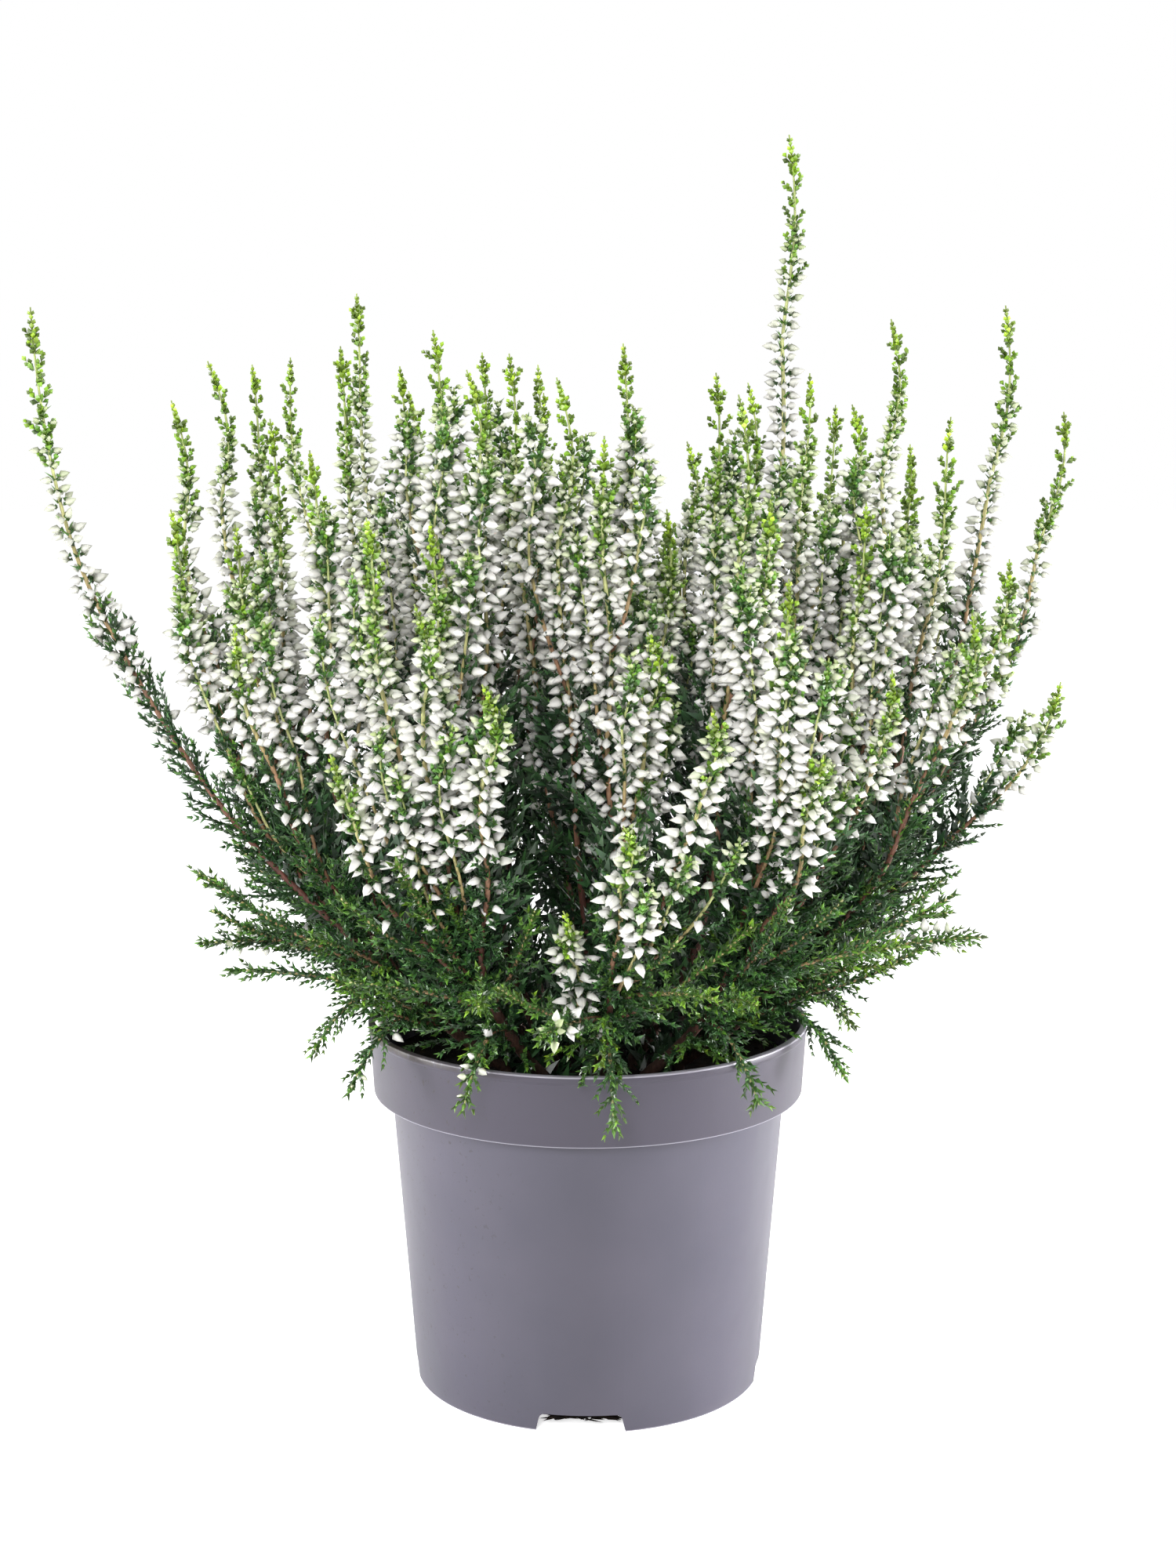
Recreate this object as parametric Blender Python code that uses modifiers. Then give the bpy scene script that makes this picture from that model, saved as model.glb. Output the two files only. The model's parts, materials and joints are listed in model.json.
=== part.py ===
"""A potted heather: twenty woody sprays of white budded shoots, standing in soil in a round nursery pot.

Units are metres, +Z is up, and the origin is the middle of the pot's foot. The photograph's front is -Y.
"""

import math
import random

import bmesh
import bpy
import numpy as np
from mathutils import Vector

MM = 0.001
GAP = 0.3 * MM

# Pot: radii and heights of the outer skin, with a thicker lip round the top and a step under the collar.
POT_HEIGHT = 100 * MM
RIM_RADIUS = 60 * MM
LIP_THICKNESS = 1.9 * MM
LIP_ROUNDING = 0.4 * MM
LIP_WIDEST = 0.6 * MM
LIP_DEPTH = 2.2 * MM
COLLAR_FOOT_RADIUS = 58.6 * MM
COLLAR_DEPTH = 19 * MM
COLLAR_FOOT = POT_HEIGHT - COLLAR_DEPTH
STEP_RISE = 1.2 * MM
STEP_INNER_RISE = 3 * MM
BODY_TOP_RADIUS = 53.8 * MM
FOOT_RADIUS = 47.5 * MM
WALL = 1.5 * MM
FLOOR_LOW = 5.2 * MM
FLOOR_HIGH = 6.8 * MM
FLOOR_FILLET = 1.5 * MM
POT_STEPS = 36
NOTCH_WIDTH = 26 * MM
NOTCH_TAPER = 0.82
NOTCH_HEIGHT = 5 * MM
NOTCH_DEPTH = 8 * MM
NOTCH_COUNT = 4
NOTCH_TURN = math.radians(-2.4)
DRAIN_RADIUS = 4.5 * MM
DRAIN_DISTANCE = 37 * MM
DRAIN_SIDES = 8

# Soil.
SOIL_TOP = 87 * MM
SOIL_RINGS = (0, 20 * MM, 40 * MM)
SOIL_EDGE_DROP = 1 * MM
SOIL_CLEARANCE = 0.5 * MM
SOIL_STEPS = 20
SOIL_ROUGHNESS = 1.2 * MM
HOLE_DEPTH = 12 * MM
HOLE_SIDES = 5

# Roots under the floor: a plug through the front drain hole and a flat mat that hangs from it.
ROOT_LOW = 2.4 * MM
ROOT_MAT_HEIGHT = 2.5 * MM
ROOT_MAT_DISTANCE = 39 * MM
ROOT_MAT_HALF = (10 * MM, 5.5 * MM, 1.2 * MM)
ROOT_RAGGED = (0.75, 1.1)

# Growth: the sprays stand close together in the soil and fan out to their full spread higher up.
FAN_FOOT = 90 * MM
SOIL_SPREAD = 0.27
SPREAD_RISE = 50 * MM
SPRAY_RINGS = ((1, 0 * MM, 0), (7, 52 * MM, 12), (12, 100 * MM, 5))
STEM_FOOT_RADIUS = 1.9 * MM
STEM_TOP_RADIUS = 1.1 * MM
STEM_STEP = 13 * MM
BRANCHING_LOW = 100 * MM
BRANCHING_HIGH = 132 * MM
AWAY_POWER = 2.2

# Shoot tips that the photograph shows, as (x, y, z) in millimetres; y is judged from size and overlap.
SEEN_TIPS = (
    (-135, -50, 290), (-108, -10, 267), (-105, 35, 277), (-96, 60, 276), (-88, 86, 278),
    (-103, -46, 241), (-67, 22, 281), (-66, 62, 296), (-54, 98, 268), (-44, 64, 259),
    (-70, -32, 255), (-52, -78, 241), (-40, -10, 285), (-30, -40, 275), (-21, 10, 279),
    (-8, -22, 273), (-14, 44, 276), (4, -46, 259), (12, 74, 248), (12, 2, 244),
    (20, -28, 240), (22, 42, 233), (-38, -62, 239), (34, 8, 274), (37, -44, 269),
    (45, 48, 271), (54, 26, 337), (57, -14, 274), (62, 68, 254), (74, 92, 264),
    (74, 44, 265), (80, 6, 288), (94, 72, 253), (93, -18, 263), (114, 30, 292),
    (68, -52, 243), (43, -74, 245), (133, 42, 263), (106, -36, 228), (93, -62, 217),
    (124, -14, 194), (112, 4, 212), (46, -94, 228), (-24, -105, 205), (28, -108, 200),
    (54, -100, 188), (8, -108, 173), (-60, -92, 187), (14, -78, 214), (72, -78, 205),
    (-6, -84, 148), (-40, -92, 222), (-86, -62, 213), (-84, 2, 262), (-90, -26, 236),
)
# The far side, which the photograph hides, is filled by the same dome of tips.
DOME_CENTRE_HEIGHT = 282 * MM
DOME_EDGE_DROP = 46 * MM
DOME_RADIUS = 117 * MM
FILL_CANDIDATES = 150
FILL_FROM_Y = 24 * MM
FILL_SPACING = 21 * MM
FILL_UNEVEN = (-14 * MM, 12 * MM)

# Shoots: a leafy foot, a spike of buds and a green tip, as rings of four raised points.
LEAF_RING_STEP = 9 * MM
BUD_RING_STEP = 7.4 * MM
TIP_RING_STEP = 9 * MM
TIP_LENGTH = 36 * MM
FLOWER_FOOT = 150 * MM
FLOWER_FOOT_SHARE = 0.45
BARE_LENGTH = 14 * MM
FULL_BUDS_BELOW = 60 * MM
SWELL = (0.92, 1.05)
CORE_BARE = 1 * MM
CORE_LEAF, REACH_LEAF = 2 * MM, 8 * MM
CORE_BUD, REACH_BUD = 2 * MM, 6 * MM
CORE_TIP, REACH_TIP = 0.9 * MM, 3.6 * MM
CORE_END, REACH_END = 0.35 * MM, 0.7 * MM
BUD_DROOP = 1.4 * MM
LEAF_RISE = 4 * MM
CURVE_SAMPLES = 60

# Leafy side twigs of the sprays round the rim: one hangs over the rim and two go out beside it.
EDGE_SITE = 80 * MM
TWIG_RING_STEP = 7.5 * MM
TWIG_CORE = 0.5 * MM
TWIG_THICKER = 0.7 * MM
TWIG_REACH_END, TWIG_REACH = 1.2 * MM, 4.6 * MM
TWIG_TURN = math.radians(25)
TWIG_LOW = 108 * MM
TWIG_HIGHER = 6 * MM
RIM_TWIG_LENGTH = (24 * MM, 28 * MM)
RIM_TWIG_LIFT = 14 * MM
RIM_TWIG_DROOP = (26 * MM, 32 * MM)
SIDE_TWIG_LENGTH = (36 * MM, 50 * MM)
SIDE_TWIG_LIFT = (12 * MM, 24 * MM)
SIDE_TWIG_DROOP = 6 * MM

# The share of faces kept when the slivers of a union are collapsed.
KEPT_SHARE = 0.9

SEED = 11
COLOURS = {
    "pot": (0.165, 0.155, 0.19),
    "soil": (0.025, 0.017, 0.012),
    "spray": (0.33, 0.42, 0.25),
}


def clear_scene():
    for thing in list(bpy.data.objects):
        bpy.data.objects.remove(thing)


def make_collection(name):
    group = bpy.data.collections.new(name)
    bpy.context.scene.collection.children.link(group)
    return group


def make_material(name, colour, roughness):
    material = bpy.data.materials.new(name)
    material.use_nodes = True
    shader = material.node_tree.nodes["Principled BSDF"]
    shader.inputs["Base Color"].default_value = (*colour, 1)
    shader.inputs["Roughness"].default_value = roughness
    shader.inputs["Metallic"].default_value = 0
    return material


def make_object(name, mesh, group, material=None):
    thing = bpy.data.objects.new(name, mesh)
    group.objects.link(thing)
    if material:
        mesh.materials.append(material)
    return thing


def turned(name, profile, steps, group, material=None):
    """A profile of (radius, height) points, turned round the Z axis. Its edge along the axis is left out."""
    mesh = bpy.data.meshes.new(name)
    points = [(radius, 0, height) for radius, height in profile]
    edges = [(i, i + 1) for i in range(len(points) - 1) if points[i][0] or points[i + 1][0]]
    mesh.from_pydata(points, edges, [])
    thing = make_object(name, mesh, group, material)
    screw = thing.modifiers.new("Turn", "SCREW")
    screw.steps = screw.render_steps = steps
    screw.use_merge_vertices = True
    screw.merge_threshold = 0.00001
    return thing


def primitive(add, group, **settings):
    """One of Blender's primitives, moved into a collection."""
    add(**settings)
    thing = bpy.context.object
    for owner in list(thing.users_collection):
        owner.objects.unlink(thing)
    group.objects.link(thing)
    return thing


def hide_cutter(thing):
    thing.hide_render = True
    thing.display_type = "WIRE"


def combine(thing, operation, other=None, group=None, solver="EXACT"):
    boolean = thing.modifiers.new(operation.title(), "BOOLEAN")
    boolean.operation = operation
    boolean.solver = solver
    if group:
        boolean.operand_type = "COLLECTION"
        boolean.collection = group
    else:
        boolean.object = other


def pot_outline():
    """The pot's skin from the rim's inner edge, over the lip, down the outside and back up the inside."""
    rim_inside = (RIM_RADIUS - LIP_THICKNESS, POT_HEIGHT)
    inner_foot = FOOT_RADIUS - WALL
    return [
        rim_inside,
        (RIM_RADIUS - LIP_ROUNDING, POT_HEIGHT),
        (RIM_RADIUS, POT_HEIGHT - LIP_WIDEST),
        (RIM_RADIUS - LIP_ROUNDING, POT_HEIGHT - LIP_DEPTH),
        (COLLAR_FOOT_RADIUS, COLLAR_FOOT),
        (COLLAR_FOOT_RADIUS - WALL, COLLAR_FOOT),
        (BODY_TOP_RADIUS, COLLAR_FOOT + STEP_RISE),
        (FOOT_RADIUS, 0),
        (inner_foot, 0),
        (inner_foot, FLOOR_LOW),
        (0, FLOOR_LOW),
        (0, FLOOR_HIGH),
        (inner_foot - FLOOR_FILLET, FLOOR_HIGH),
        (inner_foot, FLOOR_HIGH + FLOOR_FILLET),
        (BODY_TOP_RADIUS - WALL, COLLAR_FOOT + STEP_RISE),
        (COLLAR_FOOT_RADIUS - WALL, COLLAR_FOOT + STEP_INNER_RISE),
        rim_inside,
    ]


def notch_cutter(angle, group):
    """A low opening through the foot ring, narrower at its top."""
    cutter = primitive(
        bpy.ops.mesh.primitive_cube_add, group, size=1, rotation=(0, 0, angle),
        location=(math.sin(angle) * FOOT_RADIUS, -math.cos(angle) * FOOT_RADIUS, 0),
    )
    for vertex in cutter.data.vertices:
        high = vertex.co.z > 0
        vertex.co.x *= NOTCH_WIDTH * (NOTCH_TAPER if high else 1)
        vertex.co.y *= NOTCH_DEPTH
        vertex.co.z = NOTCH_HEIGHT if high else -NOTCH_HEIGHT
    hide_cutter(cutter)
    return cutter


def drain_place(angle):
    return math.sin(angle) * DRAIN_DISTANCE, -math.cos(angle) * DRAIN_DISTANCE


def drain_cutter(angle, group):
    cutter = primitive(
        bpy.ops.mesh.primitive_cylinder_add, group, vertices=DRAIN_SIDES, radius=DRAIN_RADIUS,
        depth=4 * WALL, location=(*drain_place(angle), (FLOOR_LOW + FLOOR_HIGH) / 2),
    )
    hide_cutter(cutter)
    return cutter


def notch_angles():
    return [NOTCH_TURN + 2 * math.pi * i / NOTCH_COUNT for i in range(NOTCH_COUNT)]


def make_pot(group, cutters, material):
    pot = turned("pot", pot_outline(), POT_STEPS, group, material)
    for angle in notch_angles():
        combine(pot, "DIFFERENCE", notch_cutter(angle, cutters))
        combine(pot, "DIFFERENCE", drain_cutter(angle, cutters))
    return pot


def spread(height):
    """How far the bush has fanned out at a height, as a share of its full spread."""
    rise = max(height - FAN_FOOT, 0) / SPREAD_RISE
    return SOIL_SPREAD + (1 - SOIL_SPREAD) * (1 - math.exp(-rise))


def spray_sites():
    """Where each spray stands in the fully spread plan: one in the middle and two rings."""
    sites = []
    for count, radius, turn in SPRAY_RINGS:
        for i in range(count):
            angle = math.radians(turn) + 2 * math.pi * i / count
            sites.append(Vector((radius * math.sin(angle), -radius * math.cos(angle))))
    return sites


def plan_place(tip):
    """A tip's place in the fully spread plan."""
    return Vector((tip.x, tip.y)) / spread(tip.z)


def all_tips():
    """The tips that the photograph shows, then the hidden far side filled in sunflower order."""
    rng = random.Random(SEED)
    tips = [Vector(tip) * MM for tip in SEEN_TIPS]
    golden = math.pi * (3 - math.sqrt(5))
    for i in range(FILL_CANDIDATES):
        radius = DOME_RADIUS * math.sqrt((i + 0.5) / FILL_CANDIDATES)
        angle = i * golden
        height = DOME_CENTRE_HEIGHT - DOME_EDGE_DROP * (radius / DOME_RADIUS) ** 2
        height += rng.uniform(*FILL_UNEVEN)
        tip = Vector((radius * math.sin(angle), radius * math.cos(angle), height))
        place = plan_place(tip)
        clear = all((place - plan_place(other)).length > FILL_SPACING for other in tips)
        if tip.y > FILL_FROM_Y and clear:
            tips.append(tip)
    return tips


def stem_point(site, height):
    """The main stem's middle: upright in the soil, then fanning out."""
    share = spread(height)
    return Vector((site.x * share, site.y * share, height))


def shoot_point(site, tip, branching, along):
    """A shoot's middle, from the main stem (along 0) to its tip (along 1)."""
    height = branching + (tip.z - branching) * along
    away = 1 - (1 - along) ** AWAY_POWER
    place = site + (plan_place(tip) - site) * away
    share = spread(height)
    return Vector((place.x * share, place.y * share, height))


def measured(curve):
    """Points close together on a curve given as a function of 0 to 1, and the length up to each."""
    fine = [curve(i / CURVE_SAMPLES) for i in range(CURVE_SAMPLES + 1)]
    lengths = [0]
    for a, b in zip(fine, fine[1:]):
        lengths.append(lengths[-1] + (b - a).length)
    return fine, lengths


def places(fine, lengths, wanted):
    """The points at the wanted lengths along a measured curve."""
    axes = [np.interp(wanted, lengths, [p[axis] for p in fine]) for axis in range(3)]
    return [Vector(point) for point in zip(*axes)]


def even_steps(start, end, step):
    """Lengths from start up to, but not with, end, about a step apart."""
    count = max(1, round((end - start) / step))
    return [start + (end - start) * i / count for i in range(count)]


def walk(curve, step):
    """Evenly spaced points on a curve, from end to end."""
    fine, lengths = measured(curve)
    wanted = even_steps(0, lengths[-1], step) + [lengths[-1]]
    return places(fine, lengths, wanted)


def directions(points):
    """The way a curve runs at each of its points."""
    ends = [points[0]] + points + [points[-1]]
    return [(ends[i + 2] - ends[i]).normalized() for i in range(len(points))]


def ring_frame(direction):
    """Two unit vectors square to a direction, the same way round along a whole shoot."""
    side = Vector((1, 0, 0)) - direction * direction.x
    side.normalize()
    return side, direction.cross(side)


def tube_mesh(name, rings):
    """A closed tube through rings of equal count, its quads split from even to odd corners."""
    bm = bmesh.new()
    rows = [[bm.verts.new(point) for point in ring] for ring in rings]
    sides = len(rings[0])
    for k in range(len(rows) - 1):
        for j in range(sides):
            a, b = rows[k][j], rows[k][(j + 1) % sides]
            c, d = rows[k + 1][(j + 1) % sides], rows[k + 1][j]
            if (k + j) % 2 == 0:
                bm.faces.new((a, b, d))
                bm.faces.new((b, c, d))
            else:
                bm.faces.new((a, b, c))
                bm.faces.new((a, c, d))
    bm.faces.new(list(reversed(rows[0])))
    bm.faces.new(rows[-1])
    bmesh.ops.triangulate(bm, faces=[f for f in bm.faces if len(f.verts) > 3])
    bmesh.ops.recalc_face_normals(bm, faces=bm.faces)
    mesh = bpy.data.meshes.new(name)
    bm.to_mesh(mesh)
    bm.free()
    return mesh


def raised_rings(points, turn, sizes):
    """Rings of four points; every second one stands out as a bud or leaf, a quarter turn on at each ring.

    sizes gives (core radius, reach, shift along the shoot) for a ring.
    """
    rings = []
    for k, (point, direction) in enumerate(zip(points, directions(points))):
        side, front = ring_frame(direction)
        core, reach, shift = sizes(k)
        ring = []
        for j in range(4):
            angle = turn + math.pi / 2 * j
            out = side * math.cos(angle) + front * math.sin(angle)
            raised = (k + j) % 2 == 0 and 0 < k < len(points) - 1
            if raised:
                ring.append(point + out * reach + direction * shift)
            else:
                ring.append(point + out * core)
        rings.append(ring)
    return rings


def shoot_mesh(site, tip, branching, rng, leads=False):
    """A flowering shoot. The one that leads its spray is also the main stem, down into the soil."""
    fine, lengths = measured(lambda t: shoot_point(site, tip, branching, t))
    length = lengths[-1]
    flower_foot = min(FLOWER_FOOT, branching + FLOWER_FOOT_SHARE * (tip.z - branching))
    leafy = float(np.interp(flower_foot, [p.z for p in fine], lengths))
    budded = max(leafy, length - TIP_LENGTH)
    wanted = even_steps(0, leafy, LEAF_RING_STEP)
    wanted += even_steps(leafy, budded, BUD_RING_STEP)
    wanted += even_steps(budded, length, TIP_RING_STEP) + [length]
    points = places(fine, lengths, wanted)
    swell = rng.uniform(*SWELL)
    if leads:
        stem = stem_points(site, branching)
        points = stem + points
        wanted = [k - len(stem) for k in range(len(stem))] + wanted

    def sizes(k):
        left = length - wanted[k]
        if wanted[k] < 0:
            share = (k - 1) / len(stem)
            radius = STEM_FOOT_RADIUS + (STEM_TOP_RADIUS - STEM_FOOT_RADIUS) * max(0, share)
            return radius, radius, 0
        if wanted[k] < BARE_LENGTH:
            return CORE_BARE, CORE_BARE, 0
        if left < TIP_LENGTH:
            taper = left / TIP_LENGTH
            reach = REACH_END + REACH_TIP * taper ** 0.7
            return CORE_END + CORE_TIP * taper, reach, LEAF_RISE * taper
        if points[k].z < flower_foot:
            return CORE_LEAF, REACH_LEAF, LEAF_RISE
        late = min(1, (left - TIP_LENGTH) / FULL_BUDS_BELOW)
        reach = REACH_TIP + (REACH_BUD - REACH_TIP) * late ** 0.5
        return CORE_BUD, reach * swell, -BUD_DROOP * late

    return tube_mesh("shoot", raised_rings(points, rng.uniform(0, math.pi / 2), sizes))


def stem_points(site, top):
    """The main stem's middle, from its buried foot to just below its leading shoot."""
    foot = stem_point(site, FAN_FOOT)
    foot.z = SOIL_TOP - HOLE_DEPTH + GAP
    rise = top - FAN_FOOT
    points = walk(lambda t: stem_point(site, FAN_FOOT + rise * t), STEM_STEP)
    return [foot] + points[:-1]


def twig_mesh(site, height, angle, length, lift, droop, rng):
    """A leafy side twig that leaves the main stem low down and sweeps outward, rising and then drooping."""
    start = stem_point(site, height)
    out = Vector((math.sin(angle), -math.cos(angle), 0))

    def curve(t):
        return start + out * (length * t) + Vector((0, 0, lift * t - droop * t * t))

    points = walk(curve, TWIG_RING_STEP)
    count = len(points) - 1

    def sizes(k):
        taper = 1 - k / count
        reach = TWIG_REACH_END + TWIG_REACH * min(1, taper * 2)
        return TWIG_CORE + TWIG_THICKER * taper, reach, LEAF_RISE / 2

    return tube_mesh("twig", raised_rings(points, rng.uniform(0, math.pi / 2), sizes))


def twig_plan(site, rng):
    """A rim spray's side twigs: one hangs over the pot's rim and one goes out on each side of it."""
    if site.length < EDGE_SITE:
        return []
    outward = math.atan2(site.x, -site.y)
    length, droop = rng.uniform(*RIM_TWIG_LENGTH), rng.uniform(*RIM_TWIG_DROOP)
    plan = [(TWIG_LOW, outward, length, RIM_TWIG_LIFT, droop)]
    for i, side in enumerate((-1, 1)):
        height = TWIG_LOW + TWIG_HIGHER * (i + 1)
        length, lift = rng.uniform(*SIDE_TWIG_LENGTH), rng.uniform(*SIDE_TWIG_LIFT)
        plan.append((height, outward + side * TWIG_TURN, length, lift, SIDE_TWIG_DROOP))
    return plan


def make_spray(number, site, tips, group, material):
    """A main stem that ends as the shoot nearest to its own line, with the other shoots below."""
    name = f"spray_{number:02d}"
    rng = random.Random(SEED * 100 + number)
    tips = sorted(tips, key=lambda tip: (plan_place(tip) - site).length)
    leader = shoot_mesh(site, tips[0], BRANCHING_HIGH, rng, leads=True)
    spray = make_object(name, leader, group, material)
    parts = make_collection(name + "_parts")
    for i, tip in enumerate(tips[1:]):
        share = (i + 0.5) / len(tips)
        branching = BRANCHING_LOW + (BRANCHING_HIGH - BRANCHING_LOW) * share
        make_object(name + "_shoot", shoot_mesh(site, tip, branching, rng), parts)
    for twig in twig_plan(site, rng):
        make_object(name + "_twig", twig_mesh(site, *twig, rng), parts)
    if parts.objects:
        fuse(spray, parts)
    return spray


def island_of(start):
    """The faces that hang together with a face."""
    found, waiting = {start}, [start]
    while waiting:
        for edge in waiting.pop().edges:
            for face in edge.link_faces:
                if face not in found:
                    found.add(face)
                    waiting.append(face)
    return found


def signed_volume(faces):
    return sum(f.verts[0].co.dot(f.verts[1].co.cross(f.verts[2].co)) for f in faces) / 6


def keep_outer_skin(mesh):
    """Fills hollows that the union sealed and drops loose scraps: only the largest skin stays."""
    bm = bmesh.new()
    bm.from_mesh(mesh)
    bmesh.ops.triangulate(bm, faces=bm.faces)
    left, islands = set(bm.faces), []
    while left:
        islands.append(island_of(next(iter(left))))
        left -= islands[-1]
    outer = max(islands, key=signed_volume)
    stray = [face for face in bm.faces if face not in outer]
    bmesh.ops.delete(bm, geom=stray, context="FACES")
    bm.to_mesh(mesh)
    bm.free()


def fuse(thing, parts):
    """Joins a collection's pieces to a thing in one union, applies it and removes the pieces.

    The slivers that the union leaves where pieces meet are then collapsed.
    """
    combine(thing, "UNION", group=parts, solver="MANIFOLD")
    collapse = thing.modifiers.new("Slivers", "DECIMATE")
    collapse.ratio = KEPT_SHARE
    bpy.context.view_layer.update()
    evaluated = thing.evaluated_get(bpy.context.evaluated_depsgraph_get())
    fused = bpy.data.meshes.new_from_object(evaluated)
    thing.modifiers.clear()
    keep_outer_skin(fused)
    thing.data = fused
    for piece in list(parts.objects):
        bpy.data.objects.remove(piece)
    bpy.data.collections.remove(parts)


def soil_outline():
    """The soil's skin, a gap inside the pot's: across the top, down the side and back under."""
    collar_inside = COLLAR_FOOT_RADIUS - WALL - GAP
    floor = FLOOR_HIGH + GAP
    foot = FOOT_RADIUS - WALL - SOIL_CLEARANCE
    return [(radius, SOIL_TOP) for radius in SOIL_RINGS] + [
        (collar_inside, SOIL_TOP - SOIL_EDGE_DROP),
        (collar_inside - GAP, COLLAR_FOOT + STEP_INNER_RISE + SOIL_CLEARANCE),
        (BODY_TOP_RADIUS - WALL - SOIL_CLEARANCE, COLLAR_FOOT + STEP_RISE),
        (foot, floor + FLOOR_FILLET + SOIL_CLEARANCE),
        (foot - FLOOR_FILLET - SOIL_CLEARANCE, floor),
        (0, floor),
    ]


def hole_cutter(site, group):
    radius = (STEM_FOOT_RADIUS + GAP) / math.cos(math.pi / HOLE_SIDES)
    cutter = primitive(
        bpy.ops.mesh.primitive_cylinder_add, group, vertices=HOLE_SIDES, radius=radius,
        depth=HOLE_DEPTH * 2, location=stem_point(site, SOIL_TOP),
    )
    hide_cutter(cutter)


def make_roots(group):
    """Roots that have grown down through the front drain hole and spread under the floor."""
    x, y = drain_place(NOTCH_TURN)
    high = FLOOR_HIGH + WALL
    primitive(
        bpy.ops.mesh.primitive_cylinder_add, group, vertices=DRAIN_SIDES, radius=DRAIN_RADIUS - 2 * GAP,
        depth=high - ROOT_LOW, location=(x, y, (high + ROOT_LOW) / 2),
    )
    forward = ROOT_MAT_DISTANCE / DRAIN_DISTANCE
    mat = primitive(
        bpy.ops.mesh.primitive_ico_sphere_add, group, subdivisions=2, radius=1,
        location=(x * forward, y * forward, ROOT_MAT_HEIGHT),
    )
    rng = random.Random(SEED)
    half_x, half_y, half_z = ROOT_MAT_HALF
    for vertex in mat.data.vertices:
        ragged = rng.uniform(*ROOT_RAGGED)
        vertex.co.x *= half_x * ragged
        vertex.co.y *= half_y * ragged
        vertex.co.z *= half_z


def make_soil(sites, group, cutters, material):
    turned_soil = turned("soil_blank", soil_outline(), SOIL_STEPS, group)
    bpy.context.view_layer.update()
    blank = turned_soil.evaluated_get(bpy.context.evaluated_depsgraph_get())
    mesh = bpy.data.meshes.new_from_object(blank)
    bpy.data.objects.remove(turned_soil)
    rng = random.Random(SEED)
    for vertex in mesh.vertices:
        if vertex.co.z > SOIL_TOP - SOIL_ROUGHNESS / 2:
            vertex.co.z += rng.uniform(-1, 1) * SOIL_ROUGHNESS
    soil = make_object("soil", mesh, group, material)
    roots = make_collection("root_parts")
    make_roots(roots)
    fuse(soil, roots)
    for site in sites:
        hole_cutter(site, cutters)
    combine(soil, "DIFFERENCE", group=cutters)
    return soil


def main():
    clear_scene()
    group = make_collection("potted_heather")
    cutters = make_collection("pot_cutters")
    holes = make_collection("stem_holes")
    plastic = make_material("pot_plastic", COLOURS["pot"], 0.42)
    earth = make_material("potting_soil", COLOURS["soil"], 0.95)
    green = make_material("heather", COLOURS["spray"], 0.6)
    make_pot(group, cutters, plastic)
    sites = spray_sites()
    make_soil(sites, group, holes, earth)
    tips = all_tips()
    carried = [[] for site in sites]
    for tip in tips:
        place = plan_place(tip)
        nearest = min(range(len(sites)), key=lambda i: (place - sites[i]).length)
        carried[nearest].append(tip)
    for i, (site, mine) in enumerate(zip(sites, carried)):
        make_spray(i + 1, site, mine, group, green)


main()
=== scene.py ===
import json
import math
import random

import bmesh
import bpy
import numpy as np
from mathutils import Matrix, Vector
from mathutils.kdtree import KDTree

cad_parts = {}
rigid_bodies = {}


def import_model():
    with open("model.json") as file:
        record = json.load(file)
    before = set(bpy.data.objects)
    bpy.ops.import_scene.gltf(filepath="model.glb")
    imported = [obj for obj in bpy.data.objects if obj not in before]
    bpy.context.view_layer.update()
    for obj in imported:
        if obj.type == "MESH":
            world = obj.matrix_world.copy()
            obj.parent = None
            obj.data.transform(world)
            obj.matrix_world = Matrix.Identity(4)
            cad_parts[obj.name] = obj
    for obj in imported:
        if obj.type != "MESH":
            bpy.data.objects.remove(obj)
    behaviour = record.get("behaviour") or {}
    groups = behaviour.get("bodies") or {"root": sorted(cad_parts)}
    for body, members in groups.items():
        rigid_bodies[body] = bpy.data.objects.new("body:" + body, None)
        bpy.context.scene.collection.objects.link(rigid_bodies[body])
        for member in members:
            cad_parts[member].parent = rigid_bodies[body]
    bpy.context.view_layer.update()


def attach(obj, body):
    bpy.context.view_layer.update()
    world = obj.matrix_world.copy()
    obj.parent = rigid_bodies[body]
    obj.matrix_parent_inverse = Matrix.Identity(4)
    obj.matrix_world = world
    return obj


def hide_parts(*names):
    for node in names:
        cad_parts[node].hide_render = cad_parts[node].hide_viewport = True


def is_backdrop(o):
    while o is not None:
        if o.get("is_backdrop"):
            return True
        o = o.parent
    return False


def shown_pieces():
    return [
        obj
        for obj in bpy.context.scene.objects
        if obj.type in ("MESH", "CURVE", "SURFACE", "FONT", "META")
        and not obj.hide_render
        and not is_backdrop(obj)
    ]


# A potted heather with white buds, in a grey nursery pot. The photograph's front is -Y.
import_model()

mm = 0.001


# Small helpers

def toLinear(code):
    # sRGB hex to the linear colour that the shaders take
    parts = [int(code[i:i + 2], 16) / 255 for i in (1, 3, 5)]
    return tuple(c / 12.92 if c <= 0.04045 else ((c + 0.055) / 1.055) ** 2.4 for c in parts) + (1.0,)


def addNode(tree, kind, inputs=None, **settings):
    # one node with its settings; an input that is a socket is linked, anything else is its value
    node = tree.nodes.new(kind)
    for key, value in settings.items():
        setattr(node, key, value)
    for key, value in (inputs or {}).items():
        if isinstance(value, bpy.types.NodeSocket):
            tree.links.new(value, node.inputs[key])
        else:
            node.inputs[key].default_value = value
    return node


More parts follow.
